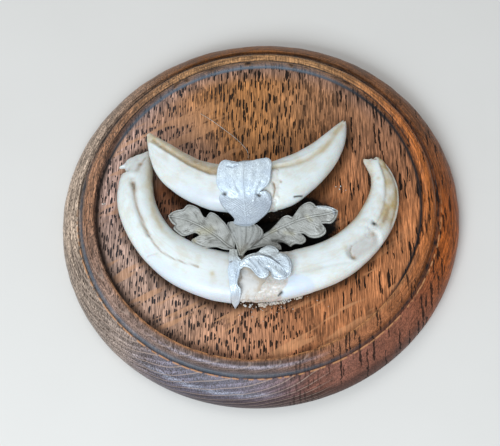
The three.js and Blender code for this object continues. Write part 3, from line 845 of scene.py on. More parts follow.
def leaf_piece(name, leaf, shape, seed, droop=0.006, wave=0.3, rib=1.0, veined=1.0, edging=1.0):
    """A cast leaf: a thin lobed plate with a midrib, veins to its lobes and a raised edge."""
    t = np.linspace(0, 1, LEAF_STEPS)
    midrib = catmull_rom(leaf["midrib"], t)
    height = midrib[:, 2]
    points = seen_at(midrib, height)
    length = np.linalg.norm(np.diff(points, axis=0), axis=1).sum()
    edges = []
    for side in ("far", "near"):
        table = np.array(leaf[side], float)
        place = np.interp(t, table[:, 0], np.linspace(0, 1, len(table)))
        pixels = catmull_rom(table[:, 1:], place)
        reach = np.linalg.norm((seen_at(pixels, height) - points)[:, :2], axis=1)
        edges.append(seen_at(pixels, height - droop * reach**2))
    top = np.linspace(1, -1, LEAF_TOP_SIDES)
    under = np.linspace(-1, 1, LEAF_UNDER_SIDES + 2)[1:-1]
    width = np.concatenate([top, under])[None] + 0 * t[:, None]
    above = np.concatenate([np.ones_like(top), -np.ones_like(under)])[None]
    t = t[:, None] + 0 * width
    share = np.abs(width)
    edge = np.where(width[..., None] > 0, edges[0][:, None], edges[1][:, None])
    flat = points[:, None] + (edge - points[:, None]) * share[..., None]
    lobe = np.linalg.norm((edge - points[:, None])[..., :2], axis=-1)
    reach = lobe * share
    flat[..., 2] = points[:, None, 2] - droop * reach**2
    round_edge = np.sqrt(np.clip(1 - share**12, 0, 1))
    # midrib with a fine line to either side, and veins that fork off it towards the lobes
    relief = rib * (0.28 * bump(reach, 0.35) - 0.32 * bump(reach - 0.65, 0.22))
    spread = smoothstep(0.02, 0.2, share) * smoothstep(0.95, 0.6, share)
    wander = 0.7 * noise(flat, 3.0, seed + 4)
    for half, side in ((1, "far"), (-1, "near")):
        for tip in lobe_tips(leaf[side], leaf["midrib"][0], leaf["midrib"][-1]):
            for fork in (-0.04, 0.0, 0.04):
                bent = (t - tip - fork * share**1.3) * length + wander
                vein = bump(bent, 0.28) - 0.8 * bump(bent - 0.55, 0.25)
                relief += veined * (0.18 if fork == 0 else 0.10) * vein * spread * (half * width > 0)
    # the edge is raised, with a fine hollow inside it
    inset = (1 - share) * lobe
    relief += edging * (0.30 * bump(inset - 0.35, 0.35) - 0.28 * bump(inset - 1.1, 0.32))
    # the blade rises into pillows between the veins
    relief += (0.10 + 0.25 * veined) * noise(flat, 3.2, seed + 3) * spread
    hatch = noise(flat * [1, 1, 0.4], 1.3, seed) * 0.08 + noise(flat, 0.7, seed + 1) * 0.05
    # fine lines run out from the midrib, slanting to the tip
    slanted = np.stack([(t * length - 0.7 * reach) / 0.55, reach / 3.2, 9.0 * (width > 0)], axis=-1)
    hatch += 0.13 * noise(slanted, 1.0, seed + 5) * smoothstep(0.0, 0.12, share)
    waves = wave * noise(flat, 6.0, seed + 2, 2) * share**1.2
    fine = (relief + hatch) * (above > 0)
    grid = flat.copy()
    grid[..., 2] += above * LEAF_THICKNESS / 2 * round_edge + waves + fine * round_edge
    hollow = smoothstep(0.0, -0.30, relief + hatch) * (above > 0)
    blank = np.zeros_like(reach)
    masks = {"hollow": hollow + blank, "tarnish": blank, "grime": blank.copy(), "polish": blank + 0.1}
    shape(grid, masks, t, width)
    return tube_piece(name, grid, masks)


def crease(points, line, width):
    """1 along a line of pixels of the view at the top of the sprig, falling off to both sides."""
    heights = np.array([place[2] for place in line], float)
    seen = seen_at(np.array([place[:2] for place in line], float), heights)
    away, _ = plan_distance(points, seen[:, :2])
    return bump(away, width)


# Marks on the leaves: a line in pixels with heights, its width and rise, and where the mark is
# also seen as a colour, a mask and its strength
CAP_MARKS = (
    # two sunk holes, darkened with dirt and painted shade
    ([[224, 192.4, 35], [224.8, 192.8, 35]], 0.75, -1.3, "grime", 0.9),
    ([[258.6, 193.8, 35], [259.4, 194.2, 35]], 0.75, -1.3, "grime", 0.9),
    ([[229, 163.5, 36], [232.5, 166, 36], [236.5, 165, 36]], 1.0, 0.7),
    ([[268.5, 160.5, 35], [271, 166, 35], [270, 178, 35]], 1.0, 0.5),
    ([[264, 190, 35], [268, 194, 35], [270.5, 200, 34]], 1.0, 0.5),
    ([[221, 183.5, 36], [228, 187, 36], [236, 191, 36]], 1.0, 0.35),
    ([[258, 184, 36], [255, 191, 36], [253.5, 199, 35]], 1.0, 0.45),
    ([[226, 194.5, 35], [231, 197, 35], [236, 197, 35]], 0.8, -0.5),
    ([[262, 183, 35], [258, 188, 35], [257, 193, 35]], 0.8, -0.65),
    ([[234, 179, 36], [237, 187, 36], [240.5, 193, 35]], 0.8, -0.3),
    ([[249, 180, 36], [248.5, 188, 36], [247, 196, 35]], 0.8, -0.25),
    ([[227.5, 166.5, 36], [232.4, 168.2, 36], [236.8, 166.4, 36]], 0.45, -0.5, "hollow", 0.8),
)
LEFT_MARKS = (
    ([[200, 232, 25], [210, 231, 25]], 2.4, 0.0, "tarnish", 1.0),
    ([[193, 239, 25], [195, 241, 25]], 1.0, 0.0, "tarnish", 1.0),
    ([[184, 213, 25], [190, 216, 25], [197, 222, 25]], 1.3, -0.3),
)
RIGHT_RIM = [[318, 207.5, 25], [326, 208, 25], [333, 210, 25], [334.5, 214, 25]]
RIGHT_MARKS = (
    (RIGHT_RIM, 0.9, 0.7),
    ([[270, 239, 25], [280, 238.5, 25], [290, 240, 25], [298, 243, 25]], 1.4, 0.8),
    ([[273, 241.4, 25], [279, 241.6, 25], [284, 243.6, 25]], 0.5, -0.9, "hollow", 0.9),
    ([[299.5, 234.4, 25], [305, 234.2, 25], [310, 237.6, 25]], 0.6, -0.6, "hollow", 0.8),
    ([[275, 230, 25], [271, 232.5, 25]], 1.1, 0.0, "tarnish", 0.7),
    ([[285, 233, 25], [293, 234.5, 25]], 1.1, 0.0, "tarnish", 0.7),
    ([[307, 217, 25], [311, 221, 25]], 1.1, 0.0, "tarnish", 0.7),
)
CURLED_MARKS = (
    ([[241, 264, 32], [250, 258.5, 33], [262, 257.5, 33], [272, 261, 33], [281, 268, 32]], 1.0, 0.585),
    ([[249, 262, 32], [256, 263.5, 32], [261, 270, 32], [265, 275, 32]], 1.0, 0.455),
    ([[263, 250, 33], [270, 248.5, 33], [277, 251, 33]], 1.0, 0.39),
    ([[281, 255.5, 33], [287, 259, 33], [290, 267, 32]], 1.0, 0.325),
    ([[268, 266, 33], [276, 272, 32], [283, 277, 32]], 1.0, 0.39),
    ([[250, 261, 32], [256, 267, 32], [259, 273, 32]], 0.55, -0.6, "hollow", 0.6),
    ([[262, 255, 33], [270, 257, 33], [279, 263.5, 33]], 0.55, -0.8, "hollow", 0.8),
    ([[266.5, 269.5, 32], [270, 271, 32], [272.5, 277, 32]], 0.55, -0.9, "hollow", 0.9),
    ([[252, 252.5, 33], [258, 253, 33], [266, 254, 33]], 0.55, -0.5, "hollow", 0.5),
    ([[250, 266, 32], [254, 270, 32], [258, 275, 32]], 0.55, -0.4, "hollow", 0.4),
    # painted shadow along the leaf's right edge, where it stands off the plaster behind
    ([[282, 254, 32], [288.5, 257, 32], [292, 264, 32], [291.5, 272, 32]], 0.6, 0.0, "grime", 0.45),
)
SHEATH_MARKS = (
    ([[246.5, 227, 29], [246.6, 236, 29], [245.5, 243, 29.5]], 0.45, -0.3, "hollow", 0.8),
)
STRAP_MARKS = (([[230.5, 263.5, 31], [232, 263, 31]], 0.5, 0.0, "grime", 0.7),)


def press(grid, masks, marks):
    """Raises or sinks the top along each mark, and shows it in the mask that the mark names."""
    for line, width, rise, *shown in marks:
        mark = crease(grid, line, width)
        grid[..., 2] += rise * mark
        if shown:
            name, strength = shown
            masks[name] = np.maximum(masks[name], strength * mark)


def shape_cap(grid, masks, t, width):
    """Ridges, barbs, curled lips, holes and dirt of the leaf that caps the upper tusks, with a painted
    highlight band, painted shade in the holes and a darker foot.
    """
    share = np.abs(width)
    ridged = smoothstep(0.33, 0.45, t) * smoothstep(0.9, 0.7, t) * smoothstep(0.9, 0.2, share)
    wave = np.cos(share * 19)
    grid[..., 2] += 0.17 * wave * ridged
    lower = smoothstep(0.45, 0.3, t)
    slope = (t - 0.22 * share) * 29 * 2 * math.pi
    barb = np.cos(slope) * lower * smoothstep(0.0, 0.1, share)
    grid[..., 2] += 0.08 * barb
    # the foot of the cap is made darker through the hollow mask, and the troughs of its barbs too
    dull = 0.66 * lower + 0.24 * smoothstep(0.0, 1.0, -barb) * lower
    dull = np.maximum(dull, 0.3 * smoothstep(0.35, 0.9, wave) * ridged)
    masks["hollow"] = np.maximum(masks["hollow"] * (0.4 + 0.3 * lower), dull)
    worn_top = smoothstep(0.965, 0.985, t) * smoothstep(-0.98, -0.9, width)
    masks["grime"] = 0.5 * worn_top
    # painted reflection of the window all over the cap, with a painted highlight band across its middle
    masks["polish"] = 0.76 + 0.24 * bump(t - 0.52, 0.13) - 0.5 * worn_top
    press(grid, masks, CAP_MARKS)


def shape_left(grid, masks, t, width):
    press(grid, masks, LEFT_MARKS)


def shape_right(grid, masks, t, width):
    press(grid, masks, RIGHT_MARKS)
    # painted highlight along the raised rim of the leaf's tip
    masks["polish"] = np.maximum(masks["polish"], 0.6 * crease(grid, RIGHT_RIM, 0.9) ** 2)


def shape_curled(grid, masks, t, width):
    """Long rolls are raised along the leaf."""
    press(grid, masks, CURLED_MARKS)
    upper = smoothstep(0.02, 0.3, width) * smoothstep(0.8, 0.6, t)
    # painted sheen of the window, less on the upper lobe
    masks["polish"] = 0.72 - 0.2 * upper
    masks["tarnish"] = 0.25 * upper


def shape_sheath(grid, masks, t, width):
    """Ribs spread from the foot of the sprig."""
    for rib in (0.8, 0.4, -0.3, -0.62):
        away = (width - rib) * 9 * (0.3 + t)
        grid[..., 2] += 0.22 * bump(away, 0.9) - 0.12 * bump(np.abs(away) - 1.2, 0.4)
        masks["hollow"] = np.maximum(masks["hollow"], 0.2 * bump(np.abs(away) - 1.2, 0.35))
    press(grid, masks, SHEATH_MARKS)
    masks["grime"] = 0.6 * crease(grid, [[253, 246, 29], [258, 240, 29]], 0.7)
    masks["grime"] += 0.5 * crease(grid, [[241, 252, 31], [247, 245, 30]], 0.9)
    masks["tarnish"] = 0.4 * smoothstep(0.5, 0.1, t)
    masks["polish"][:] = 0.15


def shape_strap(grid, masks, t, width):
    press(grid, masks, STRAP_MARKS)
    masks["tarnish"] = 0.5 * smoothstep(0.28, 0.05, t)
    # painted sheen of the window, stronger down the strap than at its foot
    masks["polish"] = 0.42 + 0.42 * smoothstep(0.08, 0.26, t)
    grid[..., 2] += 0.35 * bump(width - 0.25 * np.sin(t * 9), 0.4)
    grid[..., 2] -= 0.3 * bump(width + 0.66, 0.12) * smoothstep(0.3, 0.4, t)
    masks["hollow"] *= 0.3


# The sprig's pieces: name, outline, own shape, node that it replaces, and its relief
SPRIG = (
    (
        "cap_oak_leaf", CAP_LEAF, shape_cap, "leaf_cap",
        {"wave": 0.1, "rib": 0.3, "veined": 0.0, "edging": 0.6, "seed": 61},
    ),
    (
        "ribbed_sheath", SHEATH, shape_sheath, None,
        {"droop": 0.04, "wave": 0.0, "rib": 0.2, "veined": 0.0, "edging": 0.7, "seed": 66},
    ),
    ("left_oak_leaf", LEFT_LEAF, shape_left, "leaf_left", {"seed": 64}),
    ("right_oak_leaf", RIGHT_LEAF, shape_right, "leaf_right", {"seed": 67}),
    (
        "curled_oak_leaf", CURLED_LEAF, shape_curled, "leaf_curled",
        {"droop": 0.01, "wave": 0.1, "rib": 0.4, "veined": 0.6, "edging": 0.6, "seed": 70},
    ),
    (
        "wrapping_stem", STRAP, shape_strap, "strap",
        {"droop": 0.03, "wave": 0.1, "rib": 0.0, "veined": 0.0, "edging": 0.3, "seed": 75},
    ),
)


# ---------------------------------------------------------------- small loose things


# The stray hair, in pixels of the view
HAIR_PIXELS = (
    (200.5, 113.6), (211, 120), (224, 129.4), (236, 138.6), (244, 146.6), (247.6, 152), (248.4, 158.4),
)
# Crumbs along a line in plan: number, start, end, spread, smallest and largest size, seed
CHIPS = (
    (12, (-8.3, -53.0), (2.2, -53.9), 0.5, (0.5, 1.4), 81),
    (70, (1.2, -53.6), (13.2, -51.7), 0.38, (0.5, 1.5), 82),
    (26, (13.2, -51.7), (21.4, -49.6), 0.35, (0.4, 1.2), 88),
    (10, (-6.0, -57.0), (18.0, -54.5), 1.4, (0.3, 0.7), 89),
)
DUST = (
    (5, (39.1, 12.1), (43.5, 6.0), 1.3, (0.4, 0.9), 84),
    (4, (-75.5, 9.5), (-78.5, -4.9), 0.8, (0.4, 0.8), 85),
    (14, (-20, -58), (40, -50), 4.0, (0.25, 0.5), 86),
)


def crumbs(name, lines, seed):
    """Many small irregular lumps as one mesh, scattered along lines."""
    places = [place for line in lines for place in scattered(*line)]
    rng = np.random.default_rng(seed)
    ball = bmesh.new()
    bmesh.ops.create_icosphere(ball, subdivisions=2, radius=0.5)
    shape = np.array([v.co for v in ball.verts])
    corners = [[v.index for v in f.verts] for f in ball.faces]
    ball.free()
    vertices, faces = [], []
    for x, y, z, size in places:
        squash = rng.uniform(0.6, 1.3, 3)
        lump_shape = shape * squash * size
        lump_shape *= 1 + 0.35 * noise(shape, 0.45, int(rng.integers(1e6)))[:, None]
        lump_shape += [x, y, z - lump_shape[:, 2].min()]
        faces += [[k + len(vertices) * len(shape) for k in face] for face in corners]
        vertices.append(lump_shape)
    return make_mesh(name, np.concatenate(vertices), faces)


def scattered(count, start, end, spread, sizes, seed):
    """Places of crumbs along a line from start to end in plan, each [x, y, z, size]."""
    rng = np.random.default_rng(seed)
    along = rng.random((count, 1))
    plan = np.array(start) * (1 - along) + np.array(end) * along
    plan += rng.normal(size=(count, 2)) * spread
    size = rng.uniform(*sizes, (count, 1))
    return np.concatenate([plan, np.full((count, 1), FLOOR_Z) - 0.05, size], axis=1).tolist()


def stray_hair():
    """A pale hair that lies on the oak in one long curve."""
    seen = np.array(HAIR_PIXELS)
    line = seen_at(seen, np.full(len(seen), FLOOR_Z + HAIR_RADIUS + 0.1))
    points, _, side, lift = path_frame(line, np.linspace(0, 1, 90))
    angle = np.linspace(0, 2 * math.pi, 8, endpoint=False)[None, :, None]
    ring = side[:, None] * np.cos(angle) + lift[:, None] * np.sin(angle)
    vertices, faces, _ = closed_tube(points[:, None] + ring * HAIR_RADIUS, 1)
    return make_mesh("stray_hair", vertices, faces)


# ---------------------------------------------------------------- shader values


class Value:
    """A number or a colour in a shader tree. Arithmetic on a number adds the nodes for it."""

    def __init__(self, tree, socket):
        self.tree = tree
        self.socket = socket

    def output(self, name):
        """Another output of the same node."""
        return Value(self.tree, self.socket.node.outputs[name])

    def math(self, operation, other=0.0):
        return node(self.tree, "Math", {0: self, 1: other}, operation=operation)

    def __add__(self, other):
        return self.math("ADD", other)

    def __sub__(self, other):
        return self.math("SUBTRACT", other)

    def __mul__(self, other):
        return self.math("MULTIPLY", other)

    def __truediv__(self, other):
        return self.math("DIVIDE", other)

    def __abs__(self):
        return self.math("ABSOLUTE")

    def ramp(self, low, high, to_low=0.0, to_high=1.0):
        """Smooth step from to_low to to_high; low may be the larger."""
        flipped = low > high
        inputs = {0: self, 1: min(low, high), 2: max(low, high)}
        inputs[3], inputs[4] = (to_high, to_low) if flipped else (to_low, to_high)
        return node(self.tree, "MapRange", inputs, interpolation_type="SMOOTHSTEP")

    def peak(self, at, width):
        """1 where the number is at, falling to 0 at width to either side."""
        return abs(self - at).ramp(width, 0.0)


def node(tree, kind, inputs=(), output=0, **properties):
    """Adds a shader node and gives its output. An input is a number, a colour or a Value."""
    made = tree.nodes.new("ShaderNode" + kind)
    for name, value in properties.items():
        setattr(made, name, value)
    for key, value in dict(inputs).items():
        if isinstance(value, Value):
            tree.links.new(value.socket, made.inputs[key])
        else:
            made.inputs[key].default_value = value
    return Value(tree, made.outputs[output])


def mixed(share, first, second, kind="MIX"):
    """A colour between two, which are Values or (red, green, blue)."""
    tree = share.tree if isinstance(share, Value) else first.tree
    first, second = (c if isinstance(c, Value) else (*c, 1) for c in (first, second))
    return node(tree, "Mix", {0: share, 6: first, 7: second}, 2, data_type="RGBA", blend_type=kind)


def multiplied(base, other):
    """A colour times a number or another colour."""
    return mixed(1.0, base, other, "MULTIPLY")


def blended(share, first, second):
    """A number between two."""
    return node(share.tree, "Mix", {0: share, 2: first, 3: second}, data_type="FLOAT")


class Paint:
    """A material with a Principled shader, and the values that its surface gives."""

    def __init__(self, name, **sockets):
        self.material = bpy.data.materials.new(name)
        self.material.use_nodes = True
        self.tree = self.material.node_tree
        self.shader = self.tree.nodes["Principled BSDF"]
        for socket, value in sockets.items():
            self.shader.inputs[socket.replace("_", " ")].default_value = value

    def scaled(self, vector, scale, rotation=(0, 0, 0)):
        return node(self.tree, "Mapping", {"Vector": vector, "Rotation": rotation, "Scale": scale})

    def place(self, stretch=(1, 1, 1), turn=0.0):
        """The surface's own place in millimetres, turned about Z by degrees, divided by stretch."""
        place = node(self.tree, "TexCoord", output="Object")
        turned = self.scaled(place, (1, 1, 1), (0, 0, math.radians(turn)))
        return self.scaled(turned, tuple(1 / (MM * size) for size in stretch))

    def noise_at(self, vector, scale=1.0, detail=2.0, roughness=0.5):
        inputs = {"Vector": vector, "Scale": scale, "Detail": detail, "Roughness": roughness}
        return node(self.tree, "TexNoise", inputs, "Fac")

    def noise(self, stretch, detail=2.0, roughness=0.5, turn=0.0):
        """Cloudy noise around 0.5, its lumps stretched by millimetres along each axis."""
        return self.noise_at(self.place(stretch, turn), 1.0, detail, roughness)

    def mask(self, name):
        """A mask of the mesh, one number to each vertex."""
        return node(self.tree, "Attribute", output="Fac", attribute_name=name)

    def finish(self, base, roughness, height=None, depth=0.2):
        """Feeds the shader, with a bump as deep as depth in millimetres, and gives the material."""
        self.tree.links.new(base.socket, self.shader.inputs["Base Color"])
        self.tree.links.new(roughness.socket, self.shader.inputs["Roughness"])
        if height:
            bumped = node(self.tree, "Bump", {"Height": height, "Strength": 1.0, "Distance": depth * MM})
            self.tree.links.new(bumped.socket, self.shader.inputs["Normal"])
        return self.material


# ---------------------------------------------------------------- oak

# Colours at the left, top, right and bottom of the board
# the greyer left floor tone is partly painted sheen of the window
FLOOR_TONES = (
    (0.42, 0.27, 0.22), (0.365, 0.155, 0.052), (0.375, 0.142, 0.054), (0.38, 0.178, 0.097),
)
BEAD_TONES = (
    (0.44, 0.22, 0.125), (0.46, 0.24, 0.105), (0.59, 0.182, 0.046), (0.15, 0.105, 0.095),
)
# the pale grey left tone of the rim is partly painted sheen of the window
RIM_TONES = (
    (0.60, 0.45, 0.34), (0.29, 0.105, 0.026), (0.42, 0.108, 0.021), (0.15, 0.115, 0.135),
)
# Patches of another colour: direction and spread in degrees, strength, colour
BEAD_PATCHES = ((-142, 36, 0.5, (0.36, 0.27, 0.24)), (-46, 42, 0.8, (0.34, 0.125, 0.048)))
# on the front of the rim, the blue-grey patch at -104 degrees is a painted reflection of the window
RIM_PATCHES = (
    (45, 50, 0.75, (0.22, 0.10, 0.045)),
    (-60, 44, 0.85, (0.20, 0.072, 0.040)),
    (-104, 30, 0.5, (0.17, 0.18, 0.25)),
    (-146, 26, 0.45, (0.27, 0.22, 0.19)),
)
FLATTEN = 1e6  # a stretch that takes a direction out of a place
BLACK_DIRT_AND_SHADE = (0.012, 0.012, 0.014)
BEAD_SHEEN_RADIUS = 85.6  # the outer shoulder of the bead, which catches the light
BLUE_DUST_AND_SHEEN = (0.17, 0.205, 0.25)
# middle of the painted shade between an upper and a lower tusk on the left
BETWEEN_TUSKS = (-44.5, 3.0, FLOOR_Z)  # the dark gap on the left, between an upper and a lower tusk
# an oval round the sprig painted near-black: black filler and deep painted shade
PITCH_AND_SHADE_MIDDLE = (3.0, -11.5, FLOOR_Z)  # the blackened oak round the sprig, an oval
PITCH_AND_SHADE_SIZE = (39, 20)


def oak_place(paint):
    """x, y, z and the distance from the board's middle, in millimetres."""
    x = node(paint.tree, "SeparateXYZ", {0: paint.place()})
    in_plan = paint.place((1, 1, FLATTEN))
    radius = node(paint.tree, "VectorMath", {0: in_plan}, "Value", operation="LENGTH")
    return x, x.output("Y"), x.output("Z"), radius


def towards(place, degrees, spread):
    """1 at one side of the board, an angle from +X, falling to 0 at spread degrees from it."""
    x, y, _, radius = place
    turn = math.radians(degrees)
    share = (x * math.cos(turn) + y * math.sin(turn)) / radius
    return share.ramp(math.cos(math.radians(spread)), 1.0)


def around(place, left, top, right, bottom):
    """A colour that changes from side to side of the board."""
    x, y, _, _ = place
    sideways = mixed(x.ramp(-30, 30), left, right)
    upright = mixed(y.ramp(-30, 30), bottom, top)
    share = abs(y) / (abs(x) + abs(y))
    return mixed(share.ramp(0.25, 0.75), sideways, upright)


def patched(wood, place, patches):
    for degrees, spread, strength, tint in patches:
        wood = mixed(towards(place, degrees, spread) * strength, wood, tint)
    return wood


def pores(paint, cell, turn, size, wander):
    """Dashes along the grain, one to a cell of the given width and length."""
    moved = node(paint.tree, "VectorMath", {0: paint.place((*cell, 1), turn), 1: wander}, operation="ADD")
    distance = node(
        paint.tree, "TexVoronoi", {"Vector": moved, "Scale": 1.0, "Randomness": 0.9, "Exponent": 3.0},
        voronoi_dimensions="2D", distance="MINKOWSKI",
    )
    tone = node(paint.tree, "SeparateColor", {0: distance.output("Color")})
    reach = (tone + 0.6) * size
    return (reach - distance).ramp(-0.02, 0.05)


def oak_pores(paint, place, on_rim):
    """Black dashes along the grain, longer from the lower left to the right of the board."""
    x, y, z, radius = place
    wander = node(paint.tree, "TexNoise", {"Vector": paint.place((9, 26, 9)), "Detail": 3.0}, "Color")
    slight = node(paint.tree, "VectorMath", {0: wander, 1: (1.0, 0.5, 0.0)}, operation="MULTIPLY")
    short = pores(paint, (1.4, 6.0), 2, 0.215, slight)
    medium = pores(paint, (1.45, 9.5), 1, 0.225, slight)
    long = pores(paint, (2.2, 25.0), -1, 0.155, slight)
    to_right = x + paint.noise((24, 40, 24)) * 40.0
    is_long = to_right.ramp(38, 62)
    is_medium = (to_right + y * 0.45).ramp(8, 34)
    dashes = blended(is_medium, short, medium) * is_long.ramp(0.0, 1.0, 1.0, 0.15)
    dashes = dashes.math("MAXIMUM", long * is_long)
    # on the mouldings they show where the cut isn't along the grain
    endways = (abs(y) / radius).ramp(0.3, 0.55)
    shown = z.ramp(7.5, 12.5).math("MAXIMUM", endways)
    on_mouldings = to_right.ramp(20, 60, 0.0, 0.9) * y.ramp(72, 40, 0.1, 1.0) * shown
    return dashes * blended(on_rim, 1.0, on_mouldings), to_right


def oak_tones(place, on_rim):
    """Colours of the floor, the bead and the rim, each changing round the board, with painted sheen,
    highlights and shade in places.
    """
    _, y, z, radius = place
    floor = around(place, *FLOOR_TONES)
    # purple-grey on the lower left of the floor: partly a wax film, partly painted sheen
    lower_left = towards(place, -138, 44) * radius.ramp(25, 60)
    floor = mixed(lower_left * 0.5, floor, (0.29, 0.20, 0.15))
    lower_right = towards(place, -48, 48) * radius.ramp(30, 60)
    floor = mixed(lower_right, floor, (0.395, 0.151, 0.060))
    # grey-blue near the top of the floor: partly a grey wax film, partly a painted reflection of the window
    bloom_and_sheen = radius.ramp(70, 80) * y.ramp(25, 62)
    floor = mixed(bloom_and_sheen * 0.35, floor, (0.18, 0.20, 0.24))
    upper_right = towards(place, 42, 50) * radius.ramp(30, 70)
    floor = mixed(upper_right * 0.6, floor, (0.22, 0.115, 0.070))
    bead = patched(around(place, *BEAD_TONES), place, BEAD_PATCHES)
    inner = radius.peak(BEAD_ARRIS[0] + 0.4, 2.2) * y.ramp(-20, -60, 0.0, 0.8)
    bead = mixed(inner, bead, (0.36, 0.15, 0.055))
    # painted highlight of the window on the bead's outer shoulder at the front
    sheen = radius.peak(BEAD_SHEEN_RADIUS, 1.2) * towards(place, -98, 34)
    bead = mixed(sheen * 0.7, bead, (0.36, 0.32, 0.38))
    rim = patched(around(place, *RIM_TONES), place, RIM_PATCHES)
    # painted shade where the front of the rim turns under
    foot_of_rim = z.ramp(11.0, 7.5, 0.0, 0.75) * towards(place, -78, 52)
    rim = mixed(foot_of_rim, rim, (0.03, 0.014, 0.012))
    # painted highlight of the window on the front of the rim
    rim_sheen = z.peak(11.2, 1.6) * towards(place, -106, 26) * 0.6
    rim = mixed(rim_sheen, rim, (0.36, 0.38, 0.46))
    past_quirk = radius.ramp(QUIRK_INNER_RADIUS + 0.4, QUIRK_OUTER_RADIUS + 0.1)
    moulding = mixed(past_quirk, bead, rim)
    return mixed(on_rim, floor, moulding)


def oak_fibres(paint, wood, place, on_rim, cloud):
    """Fine fibres and clouds everywhere, and pale rays on the floor."""
    x, y, _, _ = place
    softer = on_rim * 0.45
    fibre = paint.noise((0.42, 9, 0.42), 3.0, 0.6)
    wood = multiplied(wood, blended(softer, fibre.ramp(0.38, 0.62, 0.45, 1.45), 1.0))
    coarse = paint.noise((1.0, 15, 1.0))
    wood = multiplied(wood, blended(softer, coarse.ramp(0.40, 0.58, 0.76, 1.14), 1.0))
    wood = multiplied(wood, paint.noise((0.42, 24, 0.42)).ramp(0.56, 0.66, 1.06, 0.5))
    wood = multiplied(wood, cloud.ramp(0.3, 0.7, 0.8, 1.15))
    rays = paint.noise((30, 5.2, 30), turn=-29).ramp(0.54, 0.62) * (x * 0.9 + y).ramp(75, -10)
    rays = rays * on_rim.ramp(1.0, 0.0)
    return mixed(rays * 0.45, wood, (0.50, 0.25, 0.12)), rays


def oak_turning(paint, wood, place, on_rim):
    """Turning marks, pits and growth lines on the mouldings."""
    x, y, z, radius = place
    round_place = {0: radius * 1.6, 1: y.math("ARCTAN2", x) * 8.0, 2: z * 1.6}
    turned = paint.noise_at(node(paint.tree, "CombineXYZ", round_place), 1.0, 3.0, 0.6)
    marks = on_rim * turned.ramp(0.62, 0.36) * y.ramp(-75, -20, 0.35, 1.0)
    wood = multiplied(wood, marks.ramp(0.0, 1.0, 1.2, 0.5))
    pitted = on_rim * paint.noise((0.45, 1.5, 0.6)).ramp(0.5, 0.62) * x.ramp(20, -50, 0.25, 0.85)
    wood = mixed(pitted, wood, (0.07, 0.045, 0.032))
    # thin pale growth lines show where the mouldings cut through the layers of the board
    layer = (z - x * 0.2) / 2.4 + paint.noise((38, 38, 38), 1.0) * 2.2
    within = layer.math("FRACT")
    line = within.peak(0.5, 0.09)
    low_side = towards(place, -120, 58).ramp(0.0, 0.35)
    inner_slope = radius.ramp(BEAD_ARRIS[0] + 1.1, BEAD_ARRIS[0] + 2.6)
    on_bead = inner_slope * radius.ramp(QUIRK_INNER_RADIUS - 0.4, QUIRK_INNER_RADIUS - 1.0) * 0.7
    past_arris = radius.ramp(RIM_ARRIS[0] - 0.2, RIM_ARRIS[0] + 0.6)
    # the lines are shown only on the side towards the window, partly as painted highlights
    shown = low_side * past_arris.math("MAXIMUM", on_bead)
    wood = multiplied(wood, blended(shown, 1.0, within.ramp(0.5, 1.0, 0.62, 1.08)))
    return mixed(line * shown * 0.55, wood, (0.50, 0.37, 0.30))


def oak_wear(wood, place, worn):
    """Worn arrises; dirt with painted shade in the groove, round the foot of the bead and along its arris at
    the top, and a painted blue reflection of the window in parts of the groove and of the foot.
    """
    _, y, _, radius = place
    broken = worn.ramp(0.42, 0.54)
    outer_arris = radius.peak(RIM_ARRIS[0] + 0.2, 0.75) * broken * y.ramp(15, -25) * 0.85
    wood = mixed(outer_arris, wood, (0.60, 0.29, 0.13))
    inner_arris = radius.peak(BEAD_ARRIS[0] + 0.2, 0.7) * broken * y.ramp(-20, -60) * 0.7
    wood = mixed(inner_arris, wood, (0.66, 0.30, 0.12))
    # in the groove: dirt and painted shade, near-black away from the window; on the side towards it, dust
    # with a painted blue reflection of the window
    dust_and_sky_sheen = mixed(worn, (0.05, 0.07, 0.10), (0.20, 0.25, 0.30))
    in_quirk = radius.peak(QUIRK_INNER_RADIUS + 0.7, 1.7) * worn.ramp(0.3, 0.6, 1.0, 0.7)
    wood = mixed(in_quirk, wood, mixed(towards(place, -125, 78), BLACK_DIRT_AND_SHADE, dust_and_sky_sheen))
    beside_quirk = radius.peak(QUIRK_INNER_RADIUS - 0.7, 0.55) * y.ramp(-20, 10) * 0.65
    wood = mixed(beside_quirk, wood, (0.36, 0.32, 0.27))
    # round the foot of the bead: dirt and painted shade, and a painted blue reflection of the window at the
    # far side
    foot = mixed(towards(place, 105, 62) * 0.85, BLACK_DIRT_AND_SHADE, BLUE_DUST_AND_SHEEN)
    wood = mixed(radius.peak(COVE_RADIUS - 0.5, 1.5) * y.ramp(-62, -40), wood, foot)
    # dirt and painted shade along the bead's arris at the far side
    shaded_dirty_arris = radius.peak(BEAD_ARRIS[0] + 0.5, 0.7) * y.ramp(10, 40) * 0.9
    return mixed(shaded_dirty_arris, wood, BLACK_DIRT_AND_SHADE)


